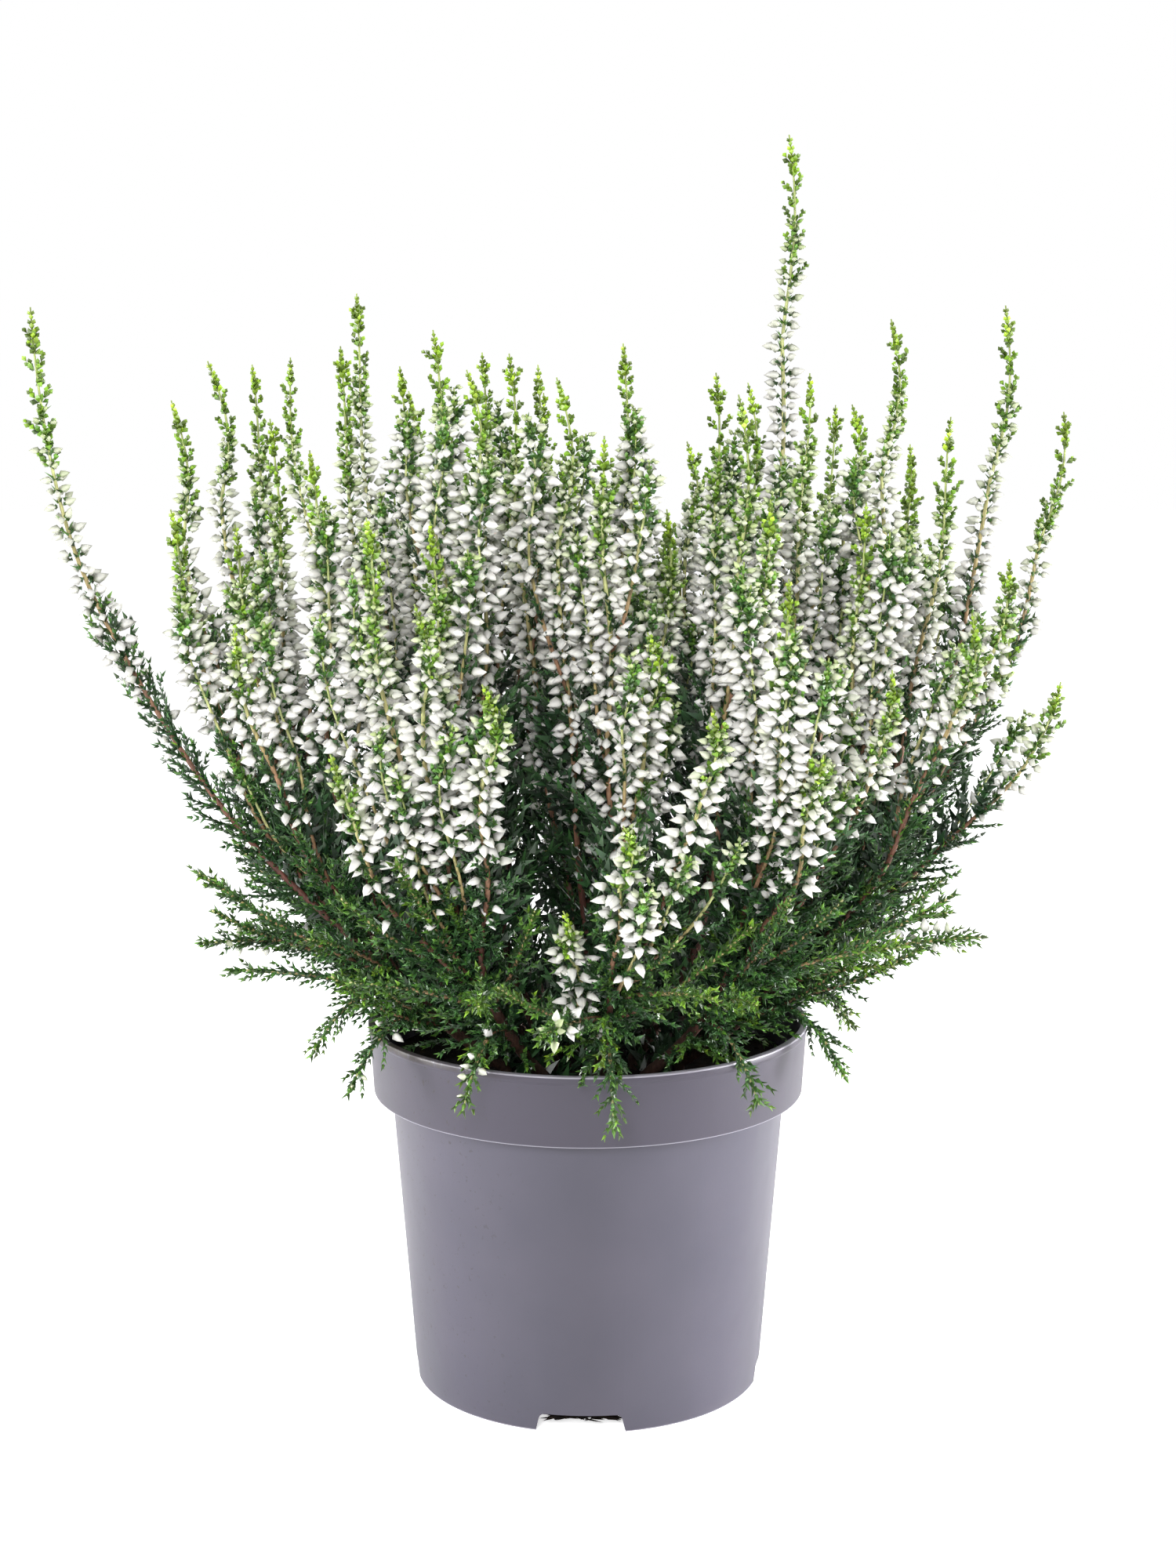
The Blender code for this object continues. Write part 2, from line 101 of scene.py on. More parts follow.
def setRamp(node, stops):
    # stops are (place, hex colour) pairs, low to high
    ramp = node.color_ramp
    while len(ramp.elements) < len(stops):
        ramp.elements.new(0.5)
    for element, (place, code) in zip(ramp.elements, stops):
        element.position = place
        element.color = toLinear(code)
    return node.outputs["Color"]


def newMaterial(name):
    material = bpy.data.materials.new(name)
    material.use_nodes = True
    return material, material.node_tree, material.node_tree.nodes["Principled BSDF"]


def linkObject(name, mesh, material=None):
    thing = bpy.data.objects.new(name, mesh)
    bpy.context.scene.collection.objects.link(thing)
    if material:
        mesh.materials.append(material)
    return thing


def bakeObject(name, source, material=None):
    # the source's mesh with its modifiers in, as a new object; the source goes
    bpy.context.view_layer.update()
    evaluated = source.evaluated_get(bpy.context.evaluated_depsgraph_get())
    mesh = bpy.data.meshes.new_from_object(evaluated)
    bpy.data.objects.remove(source)
    mesh.materials.clear()
    return linkObject(name, mesh, material)


def finishPiece(piece, slotName, *nodes):
    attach(piece, "root")
    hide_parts(*nodes)


# Camera, floor and light

studio = {
    "cameraPlace": (0, -0.675, 0.278),  # metres, straight in front
    "cameraPitch": 80.46,               # degrees up from looking straight down
    "lens": 58.27,                      # mm on a 36 mm long side
    "floorReach": 4,                    # metres from the middle to each side
    "floorColour": "#fbfbfb",
    "floorGlow": (0.2, 0.68),           # the light it gives off, and how bright it looks
    "backdrop": (0.38, 1.0),            # the same for the white surroundings
    "lamps": (                          # name, place, watts, size, height aimed at, spread in degrees
        ("key", (-0.18, -1.0, 0.6), 11.0, 0.35, 0.17, 180),
        ("left", (-1.0, 0.0, 0.4), 5, 0.6, 0.2, 180),
        ("right", (1.0, 0.0, 0.4), 7, 0.6, 0.2, 180),
        ("low left", (-1.0, 0.0, 0.1), 0.4, 0.3, 0.03, 25),
        ("low right", (1.0, 0.0, 0.1), 0.7, 0.3, 0.03, 25),
        ("top", (0, 0.2, 1.2), 6, 0.6, 0.2, 180),
    ),
}


def seenStrength(tree, strengths):
    # one strength for the light it gives, another for how it looks to the camera
    ray = addNode(tree, "ShaderNodeLightPath")
    return addNode(tree, "ShaderNodeMapRange", {"Value": ray.outputs["Is Camera Ray"],
                                                "To Min": strengths[0],
                                                "To Max": strengths[1]}).outputs["Result"]


def makeStudio():
    camera = bpy.data.objects.new("camera", bpy.data.cameras.new("camera"))
    camera.data.lens = studio["lens"]
    camera.data.sensor_width = 36
    camera.data.clip_start = 0.01
    camera.location = studio["cameraPlace"]
    camera.rotation_euler = (math.radians(studio["cameraPitch"]), 0, 0)
    bpy.context.scene.collection.objects.link(camera)
    bpy.context.scene.camera = camera

    bm = bmesh.new()
    bmesh.ops.create_grid(bm, x_segments=1, y_segments=1, size=studio["floorReach"])
    mesh = bpy.data.meshes.new("floor")
    bm.to_mesh(mesh)
    bm.free()
    paper, tree, shader = newMaterial("matte white paper")
    shader.inputs["Base Color"].default_value = toLinear(studio["floorColour"])
    shader.inputs["Roughness"].default_value = 0.9
    shader.inputs["Specular IOR Level"].default_value = 0.1
    shader.inputs["Emission Color"].default_value = toLinear(studio["floorColour"])
    tree.links.new(seenStrength(tree, studio["floorGlow"]), shader.inputs["Emission Strength"])
    linkObject("floor", mesh, paper)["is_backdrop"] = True

    world = bpy.data.worlds.new("white studio")
    bpy.context.scene.world = world
    world.use_nodes = True
    sky = world.node_tree.nodes["Background"]
    sky.inputs["Color"].default_value = toLinear("#ffffff")
    world.node_tree.links.new(seenStrength(world.node_tree, studio["backdrop"]), sky.inputs["Strength"])
    bpy.context.scene.view_settings.view_transform = "Standard"

    for name, place, power, size, height, spreading in studio["lamps"]:
        lamp = bpy.data.objects.new(name, bpy.data.lights.new(name, "AREA"))
        lamp.data.energy = power
        lamp.data.size = size
        lamp.data.spread = math.radians(spreading)
        lamp.location = place
        aim = Vector((0, 0, height)) - lamp.location
        lamp.rotation_euler = aim.to_track_quat("-Z", "Y").to_euler()
        bpy.context.scene.collection.objects.link(lamp)
    print("studio ready")


# Materials

def heightBand(tree, height, low, high, soft):
    # 1 between two heights, 0 elsewhere
    rise = addNode(tree, "ShaderNodeMapRange", {"Value": height, "From Min": low - soft, "From Max": low})
    fall = addNode(tree, "ShaderNodeMapRange", {"Value": height, "From Min": high + soft, "From Max": high})
    return addNode(tree, "ShaderNodeMath", {0: rise.outputs["Result"], 1: fall.outputs["Result"]},
                   operation="MULTIPLY").outputs["Value"]


def shaded(tree, colour, first, second):
    # a colour made lighter or darker by two factors
    both = addNode(tree, "ShaderNodeMath", {0: first.outputs["Result"], 1: second.outputs["Result"]},
                   operation="MULTIPLY")
    return addNode(tree, "ShaderNodeMix", {"Factor": 1.0, "A": colour, "B": both.outputs["Value"]},
                   data_type="RGBA", blend_type="MULTIPLY").outputs[2]


def potPlastic():
    # Recycled polypropylene, injection moulded: an even satin grey with a fine spark-eroded grain, a little
    # darker on the collar, with painted highlights as pale bands along the edges, and soil left on one side
    material, tree, shader = newMaterial("moulded grey polypropylene")
    place = addNode(tree, "ShaderNodeTexCoord").outputs["Object"]
    axes = addNode(tree, "ShaderNodeSeparateXYZ", {"Vector": place})
    cloud = addNode(tree, "ShaderNodeTexNoise", {"Vector": place, "Scale": 1 / (28 * mm), "Detail": 3})
    speck = addNode(tree, "ShaderNodeTexNoise", {"Vector": place, "Scale": 1 / (1.6 * mm), "Detail": 4,
                                                 "Roughness": 0.7})
    dust = addNode(tree, "ShaderNodeMapRange", {"Value": speck.outputs["Fac"], "From Min": 0.62,
                                                "From Max": 0.66})
    crust = addNode(tree, "ShaderNodeMapRange", {"Value": speck.outputs["Fac"], "From Min": 0.36,
                                                 "From Max": 0.46})
    left = addNode(tree, "ShaderNodeMapRange", {"Value": axes.outputs["X"], "From Min": -12 * mm,
                                                "From Max": -52 * mm})
    height, top = axes.outputs["Z"], pot["height"]
    collarFoot = top - pot["collarDepth"]
    lip = addNode(tree, "ShaderNodeMath", {0: heightBand(tree, height, top - 1.2 * mm, top + mm, 0.5 * mm),
                                           1: left.outputs["Result"]}, operation="MULTIPLY")
    colour = setRamp(addNode(tree, "ShaderNodeValToRGB", {"Fac": cloud.outputs["Fac"]}),
                     ((0.3, "#44424e"), (0.7, "#4a4753")))
    # from the bottom layer up: a colour, and two shares whose product says how much of it there is
    for code, first, second in (
        ("#3b3743", heightBand(tree, height, collarFoot + 0.6 * mm, top, 0.3 * mm), 0.95),
        # painted highlights: the next three are pale bands on the lip's top edge, the collar's foot edge
        # and the foot's lower edge, where those edges catch the light
        ("#a9a6b0", heightBand(tree, height, top - 0.35 * mm, top + mm, 0.15 * mm), 0.6),
        ("#a9a6b0", heightBand(tree, height, collarFoot - 0.2 * mm, collarFoot + 0.2 * mm, 0.15 * mm), 0.6),
        ("#a9a6b0", heightBand(tree, height, -mm, 0.3 * mm, 0.15 * mm), 0.6),
        ("#2f2925", dust.outputs["Result"], left.outputs["Result"]),
        ("#2a211b", lip.outputs["Value"], crust.outputs["Result"]),
    ):
        share = addNode(tree, "ShaderNodeMath", {0: first, 1: second}, operation="MULTIPLY")
        colour = addNode(tree, "ShaderNodeMix", {"Factor": share.outputs["Value"], "A": colour,
                                                 "B": toLinear(code)}, data_type="RGBA").outputs[2]
    tree.links.new(colour, shader.inputs["Base Color"])
    # the real grain is about 0.1 mm, and is drawn coarser so that it shows
    grain = addNode(tree, "ShaderNodeTexNoise", {"Vector": place, "Scale": 1 / (0.35 * mm), "Detail": 2})
    ripple = addNode(tree, "ShaderNodeTexNoise", {"Vector": place, "Scale": 1 / (9 * mm), "Detail": 1})
    fine = addNode(tree, "ShaderNodeBump", {"Height": grain.outputs["Fac"], "Strength": 0.25,
                                            "Distance": 0.05 * mm})
    broad = addNode(tree, "ShaderNodeBump", {"Height": ripple.outputs["Fac"], "Strength": 0.25,
                                             "Distance": 0.4 * mm, "Normal": fine.outputs["Normal"]})
    tree.links.new(broad.outputs["Normal"], shader.inputs["Normal"])
    rough = addNode(tree, "ShaderNodeMapRange", {"Value": cloud.outputs["Fac"], "To Min": 0.34,
                                                 "To Max": 0.46})
    tree.links.new(rough.outputs["Result"], shader.inputs["Roughness"])
    shader.inputs["IOR"].default_value = 1.49
    return material


def pottingSoil():
    # Damp peat with bark fines: nearly black, dull, with a few paler fibres
    material, tree, shader = newMaterial("damp peat potting soil")
    place = addNode(tree, "ShaderNodeTexCoord").outputs["Object"]
    lumps = addNode(tree, "ShaderNodeTexNoise", {"Vector": place, "Scale": 1 / (2.5 * mm), "Detail": 6,
                                                 "Roughness": 0.65})
    colour = setRamp(addNode(tree, "ShaderNodeValToRGB", {"Fac": lumps.outputs["Fac"]}),
                     ((0.3, "#0a0807"), (0.55, "#17110e"), (0.74, "#33271d"), (0.84, "#5d4a38")))
    tree.links.new(colour, shader.inputs["Base Color"])
    relief = addNode(tree, "ShaderNodeBump", {"Height": lumps.outputs["Fac"], "Strength": 0.8,
                                              "Distance": 1.2 * mm})
    tree.links.new(relief.outputs["Normal"], shader.inputs["Normal"])
    shader.inputs["Roughness"].default_value = 0.95
    shader.inputs["Specular IOR Level"].default_value = 0.2
    return material


def heatherBark():
    # Heather stem: flaking grey brown bark at the foot, red brown higher up, soft yellow green at the tip
    material, tree, shader = newMaterial("heather bark")
    place = addNode(tree, "ShaderNodeTexCoord").outputs["Object"]
    grain = addNode(tree, "ShaderNodeMapping", {"Vector": place, "Scale": (1, 1, 0.16)})
    strips = addNode(tree, "ShaderNodeTexNoise", {"Vector": grain.outputs["Vector"],
                                                  "Scale": 1 / (0.7 * mm), "Detail": 4})
    fresh = addNode(tree, "ShaderNodeAttribute", attribute_name="fresh")
    colour = setRamp(addNode(tree, "ShaderNodeValToRGB", {"Fac": fresh.outputs["Fac"]}),
                     ((0.0, "#382921"), (0.18, "#5a342a"), (0.42, "#8d6a50"), (0.6, "#a09262"),
                      (0.78, "#b0b87a"), (1.0, "#8a9d4d")))
    lighter = addNode(tree, "ShaderNodeMapRange", {"Value": strips.outputs["Fac"], "From Min": 0.35,
                                                   "From Max": 0.65, "To Min": 0.55, "To Max": 1.35})
    shade = addNode(tree, "ShaderNodeMix", {"Factor": 1.0, "A": colour, "B": lighter.outputs["Result"]},
                    data_type="RGBA", blend_type="MULTIPLY")
    tree.links.new(shade.outputs[2], shader.inputs["Base Color"])
    relief = addNode(tree, "ShaderNodeBump", {"Height": strips.outputs["Fac"], "Strength": 0.6,
                                              "Distance": 0.3 * mm})
    tree.links.new(relief.outputs["Normal"], shader.inputs["Normal"])
    shader.inputs["Roughness"].default_value = 0.6
    return material


def heatherLeaf():
    # Heather scale leaf: waxy, dark blue green when old and yellow green on new growth, paler at its point,
    # each leaf lighter or darker at random, the palest standing in for glints as painted highlights
    material, tree, shader = newMaterial("heather leaf")
    fresh = addNode(tree, "ShaderNodeAttribute", attribute_name="fresh")
    tone = addNode(tree, "ShaderNodeAttribute", attribute_name="tone")
    along = addNode(tree, "ShaderNodeAttribute", attribute_name="along")
    colour = setRamp(addNode(tree, "ShaderNodeValToRGB", {"Fac": fresh.outputs["Fac"]}),
                     ((0.0, "#1c371f"), (0.3, "#2f5226"), (0.55, "#4a6f22"), (0.8, "#638019"),
                      (1.0, "#88a32b")))
    # tone: a random difference between leaves, stretched so that the few palest ones are painted highlights
    # for glints
    lighter = addNode(tree, "ShaderNodeMapRange", {"Value": tone.outputs["Fac"], "To Min": 0.45,
                                                   "To Max": 2.2})
    outward = addNode(tree, "ShaderNodeMapRange", {"Value": along.outputs["Fac"], "To Min": 0.6,
                                                   "To Max": 1.3})
    tree.links.new(shaded(tree, colour, lighter, outward), shader.inputs["Base Color"])
    shader.inputs["Roughness"].default_value = 0.38
    shader.inputs["Specular IOR Level"].default_value = 0.6
    return material


def heatherBud():
    # Closed heather bud: thin white sepals, faintly see-through, green at the foot and on young buds, with
    # painted shade that greys its underside
    material, tree, shader = newMaterial("heather bud")
    fresh = addNode(tree, "ShaderNodeAttribute", attribute_name="fresh")
    tone = addNode(tree, "ShaderNodeAttribute", attribute_name="tone")
    along = addNode(tree, "ShaderNodeAttribute", attribute_name="along")
    upper = addNode(tree, "ShaderNodeAttribute", attribute_name="upper")
    young = setRamp(addNode(tree, "ShaderNodeValToRGB", {"Fac": fresh.outputs["Fac"]}),
                    ((0.0, "#f2f0ec"), (0.5, "#eaecdc"), (1.0, "#b8c88a")))
    foot = addNode(tree, "ShaderNodeMapRange", {"Value": along.outputs["Fac"], "From Min": 0.04,
                                                "From Max": 0.36, "To Min": 0.9, "To Max": 0.0})
    green = addNode(tree, "ShaderNodeMix", {"Factor": foot.outputs["Result"], "A": young,
                                            "B": toLinear("#5f6d3d")}, data_type="RGBA")
    lighter = addNode(tree, "ShaderNodeMapRange", {"Value": tone.outputs["Fac"], "To Min": 0.76,
                                                   "To Max": 1.08})
    # painted shade: the bud's underside is greyer and its upper side full white
    under = addNode(tree, "ShaderNodeMapRange", {"Value": upper.outputs["Fac"], "From Min": -0.8,
                                                 "From Max": 0.3, "To Min": 0.66, "To Max": 1.0})
    tree.links.new(shaded(tree, green.outputs[2], lighter, under), shader.inputs["Base Color"])
    shader.inputs["Roughness"].default_value = 0.5
    shader.inputs["Subsurface Weight"].default_value = 0.15
    shader.inputs["Subsurface Radius"].default_value = (1.0, 0.9, 0.7)
    shader.inputs["Subsurface Scale"].default_value = 0.6 * mm
    return material


# Pot

pot = {
    "height": 100 * mm,
    "rimRadius": 60 * mm,
    "lipThickness": 1.9 * mm,
    "lipDepth": 2.2 * mm,
    "lipStep": 0.4 * mm,
    "collarFootRadius": 58.6 * mm,
    "collarDepth": 19 * mm,
    "stepRise": 1.2 * mm,
    "bodyTopRadius": 53.8 * mm,
    "footRadius": 47.5 * mm,
    "wall": 1.5 * mm,
    "floorLow": 5.2 * mm,
    "floorHigh": 6.8 * mm,
    "steps": 128,
    "edgeRounding": 0.35 * mm,
    "notchWidth": 26 * mm,
    "notchTaper": 0.82,
    "notchHeight": 5 * mm,
    "notchDepth": 8 * mm,
    "notchRounding": 1.3 * mm,
    "notchTurn": math.radians(-2.4),
    "notchCount": 4,
    "drainRadius": 4.5 * mm,
    "drainDistance": 37 * mm,
}


def potProfile():
    # (radius, height) from the floor's middle under the foot, up the outside and down the inside
    collarFoot = pot["height"] - pot["collarDepth"]
    innerFoot = pot["footRadius"] - pot["wall"]
    lipRadius = pot["rimRadius"] - pot["lipStep"]
    rimInside = pot["rimRadius"] - pot["lipThickness"]
    return (
        (0, pot["floorLow"]),
        (innerFoot, pot["floorLow"]),
        (innerFoot, 0),
        (pot["footRadius"], 0),
        (pot["bodyTopRadius"], collarFoot + pot["stepRise"]),
        (pot["collarFootRadius"] - pot["wall"], collarFoot),
        (pot["collarFootRadius"], collarFoot),
        (lipRadius, pot["height"] - pot["lipDepth"]),
        (pot["rimRadius"], pot["height"] - pot["lipDepth"] + pot["lipStep"]),
        (pot["rimRadius"], pot["height"]),
        (rimInside, pot["height"]),
        (pot["collarFootRadius"] - pot["wall"], collarFoot + 2 * pot["wall"]),
        (pot["bodyTopRadius"] - pot["wall"], collarFoot + pot["stepRise"]),
        (innerFoot, pot["floorHigh"] + pot["wall"]),
        (innerFoot - pot["wall"], pot["floorHigh"]),
        (0, pot["floorHigh"]),
    )


def spunMesh(name, profile, steps, rounding=0):
    # a profile spun round Z; rings that turn sharply are rounded
    bm = bmesh.new()
    verts = [bm.verts.new((radius, 0, height)) for radius, height in profile]
    edges = [bm.edges.new(pair) for pair in zip(verts, verts[1:])]
    bmesh.ops.spin(bm, geom=verts + edges, cent=(0, 0, 0), axis=(0, 0, 1), angle=2 * math.pi,
                   steps=steps, use_merge=True)
    bmesh.ops.remove_doubles(bm, verts=bm.verts, dist=0.001 * mm)
    bmesh.ops.recalc_face_normals(bm, faces=bm.faces)
    if rounding:
        sharp = [edge for edge in bm.edges if edge.calc_face_angle(0) > math.radians(25)]
        bmesh.ops.bevel(bm, geom=sharp, offset=rounding, segments=3, profile=0.5, affect="EDGES",
                        material=-1, clamp_overlap=True)
    mesh = bpy.data.meshes.new(name)
    bm.to_mesh(mesh)
    bm.free()
    return mesh


def turnedPlace(angle, distance):
    return Vector((math.sin(angle) * distance, -math.cos(angle) * distance, 0))


def notchCutter(angle):
    bm = bmesh.new()
    bmesh.ops.create_cube(bm, size=1)
    for vert in bm.verts:
        high = vert.co.z > 0
        vert.co.x *= pot["notchWidth"] * (pot["notchTaper"] if high else 1)
        vert.co.y *= pot["notchDepth"]
        vert.co.z = pot["notchHeight"] if high else -pot["notchHeight"]
    top = [edge for edge in bm.edges if all(vert.co.z > 0 for vert in edge.verts)]
    top = [edge for edge in top if abs(edge.verts[0].co.x - edge.verts[1].co.x) < mm]
    bmesh.ops.bevel(bm, geom=top, offset=pot["notchRounding"], segments=4, profile=0.5, affect="EDGES",
                    material=-1, clamp_overlap=True)
    bmesh.ops.rotate(bm, verts=bm.verts, cent=(0, 0, 0), matrix=Matrix.Rotation(angle, 3, "Z"))
    bmesh.ops.translate(bm, verts=bm.verts, vec=turnedPlace(angle, pot["footRadius"]))
    return bm


def drainCutter(angle):
    bm = bmesh.new()
    middle = turnedPlace(angle, pot["drainDistance"])
    middle.z = pot["floorLow"]
    bmesh.ops.create_cone(bm, cap_ends=True, segments=24, radius1=pot["drainRadius"],
                          radius2=pot["drainRadius"], depth=4 * pot["wall"],
                          matrix=Matrix.Translation(middle))
    return bm


def makePot(material):
    body = linkObject("pot_blank", spunMesh("pot_blank", potProfile(), pot["steps"], pot["edgeRounding"]))
    cutters = bpy.data.collections.new("pot_cutters")
    for i in range(pot["notchCount"]):
        angle = pot["notchTurn"] + 2 * math.pi * i / pot["notchCount"]
        for name, bm in (("notch", notchCutter(angle)), ("drain", drainCutter(angle))):
            mesh = bpy.data.meshes.new(name)
            bm.to_mesh(mesh)
            bm.free()
            cutters.objects.link(bpy.data.objects.new(name, mesh))
    cut = body.modifiers.new("Cut", "BOOLEAN")
    cut.operand_type = "COLLECTION"
    cut.collection = cutters
    piece = bakeObject("pot_body", body, material)
    for cutter in list(cutters.objects):
        bpy.data.objects.remove(cutter)
    bpy.data.collections.remove(cutters)
    piece.data.shade_smooth()
    piece.data.set_sharp_from_angle(angle=math.radians(40))
    finishPiece(piece, "pot_plastic", "pot")
    print("pot made")


# Soil

soil = {
    "top": 87 * mm,
    "clearance": 0.5 * mm,
    "gap": 0.3 * mm,
    "steps": 96,
    "rings": 24,
    "roughness": 1.6 * mm,
    "crumbs": 320,
    "crumbSize": (0.6 * mm, 2.2 * mm),
    "roots": 140,                   # that hang under the front drain hole
    "rootMat": (8 * mm, 1 * mm, 0.7 * mm),
    "rootHeight": 2.9 * mm,
    "rootDistance": 42.5 * mm,
    "rootLength": (2 * mm, 5.5 * mm),
    "rootWidth": (0.2, 0.5),        # mm
    "rootLean": (-0.15, 0.05),      # down and up, to about 1 sideways
}


def makeSoil(material):
    collarFoot = pot["height"] - pot["collarDepth"]
    inside = pot["collarFootRadius"] - pot["wall"] - soil["gap"]
    floor = pot["floorHigh"] + soil["gap"]
    foot = pot["footRadius"] - pot["wall"] - soil["clearance"]
    top = [(inside * i / soil["rings"], soil["top"]) for i in range(soil["rings"] + 1)]
    profile = top + [
        (inside - soil["gap"], collarFoot + 2 * pot["wall"] + soil["clearance"]),
        (pot["bodyTopRadius"] - pot["wall"] - soil["clearance"], collarFoot + pot["stepRise"]),
        (foot, floor + pot["wall"] + soil["clearance"]),
        (foot - pot["wall"] - soil["clearance"], floor),
        (0, floor),
    ]
    mesh = spunMesh("soil_bed", profile, soil["steps"])
    rng = random.Random(3)
    for vert in mesh.vertices:
        if vert.co.z > soil["top"] - mm and vert.co.xy.length < inside - mm:
            vert.co.z += rng.uniform(-1, 1) * soil["roughness"] / 2
    bed = linkObject("soil_bed", mesh, material)
    bed.data.shade_smooth()
    finishPiece(bed, "potting_soil", "soil")

    bm = bmesh.new()
    bmesh.ops.create_icosphere(bm, subdivisions=1, radius=1)
    for vert in bm.verts:
        vert.co *= rng.uniform(0.7, 1.15)
    crumb = templateFrom(bm)
    heap = newHeap()
    draws = np.random.default_rng(5)
    count = soil["crumbs"]
    radius = (inside - 2 * mm) * np.sqrt(draws.uniform(0, 1, count))
    angle = draws.uniform(0, 2 * math.pi, count)
    base = np.column_stack((radius * np.sin(angle), radius * np.cos(angle), np.full(count, soil["top"])))
    way = unit(draws.normal(size=(count, 3)))
    size = draws.uniform(*soil["crumbSize"], count) * draws.uniform(0.4, 1, count)
    addCopies(heap, base, way, anySide(way), size * draws.uniform(0.8, 1.3, count), size, 0.5, 0.5)
    crumbs = heapObject("soil_crumbs", crumb, heap, material)
    finishPiece(crumbs, "potting_soil", "soil")

    # thin dark roots matted under the drain hole behind the front notch
    count = soil["roots"]
    middle = turnedPlace(pot["notchTurn"], soil["rootDistance"])
    base = draws.uniform(-1, 1, (count, 3)) * soil["rootMat"] + (middle.x, middle.y, soil["rootHeight"])
    sideways = draws.choice((-1, 1), count) * draws.uniform(0.5, 1, count)
    forwards = draws.uniform(-0.25, 0.25, count)
    way = unit(np.column_stack((sideways, forwards, draws.uniform(*soil["rootLean"], count))))
    heap = newHeap()
    addCopies(heap, base, way, anySide(way), draws.uniform(*soil["rootLength"], count),
              draws.uniform(*soil["rootWidth"], count) * mm, 0.5, 0.5)
    roots = heapObject("soil_roots", twigShape(), heap, material)
    finishPiece(roots, "potting_soil", "soil")
    print("soil made")


# Copies of small shapes

def unit(vectors):
    return vectors / np.linalg.norm(vectors, axis=-1, keepdims=True)


def anySide(ways):
    # a unit vector square to each way
    return unit(np.cross(ways, np.roll(ways, 1, axis=-1) + (0.3, 0.1, 0.2)))


def templateFrom(bm):
    # the shape that is copied: Y runs along it from 0 to 1, Z is its upper side
    bmesh.ops.recalc_face_normals(bm, faces=bm.faces)
    bm.verts.index_update()
    template = {
        "verts": np.array([vert.co[:] for vert in bm.verts]),
        "faces": [[vert.index for vert in face.verts] for face in bm.faces],
    }
    bm.free()
    return template


def newHeap():
    return {key: [] for key in ("base", "way", "up", "length", "width", "bend", "tone", "fresh")}


def addCopies(heap, base, way, up, length, width, tone, fresh, bend=0):
    count = len(base)
    for key, value in (("base", base), ("way", way), ("up", up)):
        heap[key].append(np.broadcast_to(value, (count, 3)))
    numbers = {"length": length, "width": width, "bend": bend, "tone": tone, "fresh": fresh}
    for key, value in numbers.items():
        heap[key].append(np.broadcast_to(np.asarray(value, float), (count,)))


def heapObject(name, template, heap, material, smooth=False):
    # every copy: its length runs along its way, its width across, and it bends upwards with the square;
    # they are laid out as arrays, for speed
    h = {key: np.concatenate(values) for key, values in heap.items()}
    count, verts = len(h["length"]), template["verts"]
    x, y, z = verts.T
    side = np.cross(h["way"], h["up"])
    spots = h["base"][:, None] + h["way"][:, None] * (h["length"][:, None] * y)[..., None]
    spots = spots + side[:, None] * (h["width"][:, None] * x)[..., None]
    lift = h["width"][:, None] * z + h["bend"][:, None] * y ** 2
    spots = spots + h["up"][:, None] * lift[..., None]
    loops = np.concatenate(template["faces"])
    totals = np.array([len(face) for face in template["faces"]])
    starts = np.concatenate(([0], np.cumsum(totals)[:-1]))
    mesh = bpy.data.meshes.new(name)
    mesh.vertices.add(count * len(verts))
    mesh.loops.add(count * len(loops))
    mesh.polygons.add(count * len(totals))
    number = np.arange(count)[:, None]
    mesh.vertices.foreach_set("co", spots.astype(np.float32).ravel())
    mesh.loops.foreach_set("vertex_index", (loops + number * len(verts)).astype(np.int32).ravel())
    mesh.polygons.foreach_set("loop_start", (starts + number * len(loops)).astype(np.int32).ravel())
    mesh.update(calc_edges=True)
    perCopy = [(key, np.repeat(h[key], len(verts))) for key in ("tone", "fresh")]
    perVert = [(key, np.tile(values, count)) for key, values in (("along", y), ("upper", z))]
    for key, values in perCopy + perVert:
        layer = mesh.attributes.new(key, "FLOAT", "POINT")
        layer.data.foreach_set("value", values.astype(np.float32))
    if smooth:
        mesh.shade_smooth()
    else:
        mesh.shade_flat()
    return linkObject(name, mesh, material)


def budShape():
    # a teardrop: a low sphere drawn out to a point
    rings = ((0, 0.0), (0.27, 1.0), (0.62, 0.72), (1, 0.0))
    bm = bmesh.new()
    bmesh.ops.create_uvsphere(bm, u_segments=4, v_segments=3, radius=1)
    for vert in bm.verts:
        along, wide = rings[round(1.5 + 3 * math.asin(max(-1, min(1, vert.co.z))) / math.pi)]
        out = Vector((vert.co.x, vert.co.y)).normalized() * wide if wide else Vector((0, 0))
        vert.co = (out.x, along, out.y)
    return templateFrom(bm)


def leafShape():
    # a scale leaf: a three-sided needle with a ridge
    bm = bmesh.new()
    bmesh.ops.create_cone(bm, cap_ends=True, segments=3, radius1=0.58, radius2=0, depth=1)
    for vert in bm.verts:
        x, y, z = vert.co
        vert.co = (x, z + 0.5, y * 0.7)
    return templateFrom(bm)


def kiteShape():
    # a young leaf: blunt, widest beyond the middle
    bm = bmesh.new()
    bmesh.ops.create_uvsphere(bm, u_segments=3, v_segments=2, radius=1)
    for vert in bm.verts:
        x, y, z = vert.co
        along = 0.62 if abs(z) < 0.5 else (0.0 if z < 0 else 1.0)
        vert.co = (x * 0.58, along, y * 0.52)
    return templateFrom(bm)


def twigShape():
    # a bare twig: three sides, drawn to a point, with a joint where it bends
    bm = bmesh.new()
    bmesh.ops.create_cone(bm, cap_ends=True, segments=3, radius1=1, radius2=0, depth=1)
    for vert in bm.verts:
        x, y, z = vert.co
        vert.co = (x, z + 0.5, y)
    bmesh.ops.bisect_plane(bm, geom=bm.verts[:] + bm.edges[:] + bm.faces[:], plane_co=(0, 0.5, 0),
                           plane_no=(0, 1, 0))
    for vert in bm.verts:
        if 0.1 < vert.co.y < 0.9:
            vert.co.x *= 1.4
            vert.co.z *= 1.4
    return templateFrom(bm)


# Growth: where every shoot runs, as in the CAD part

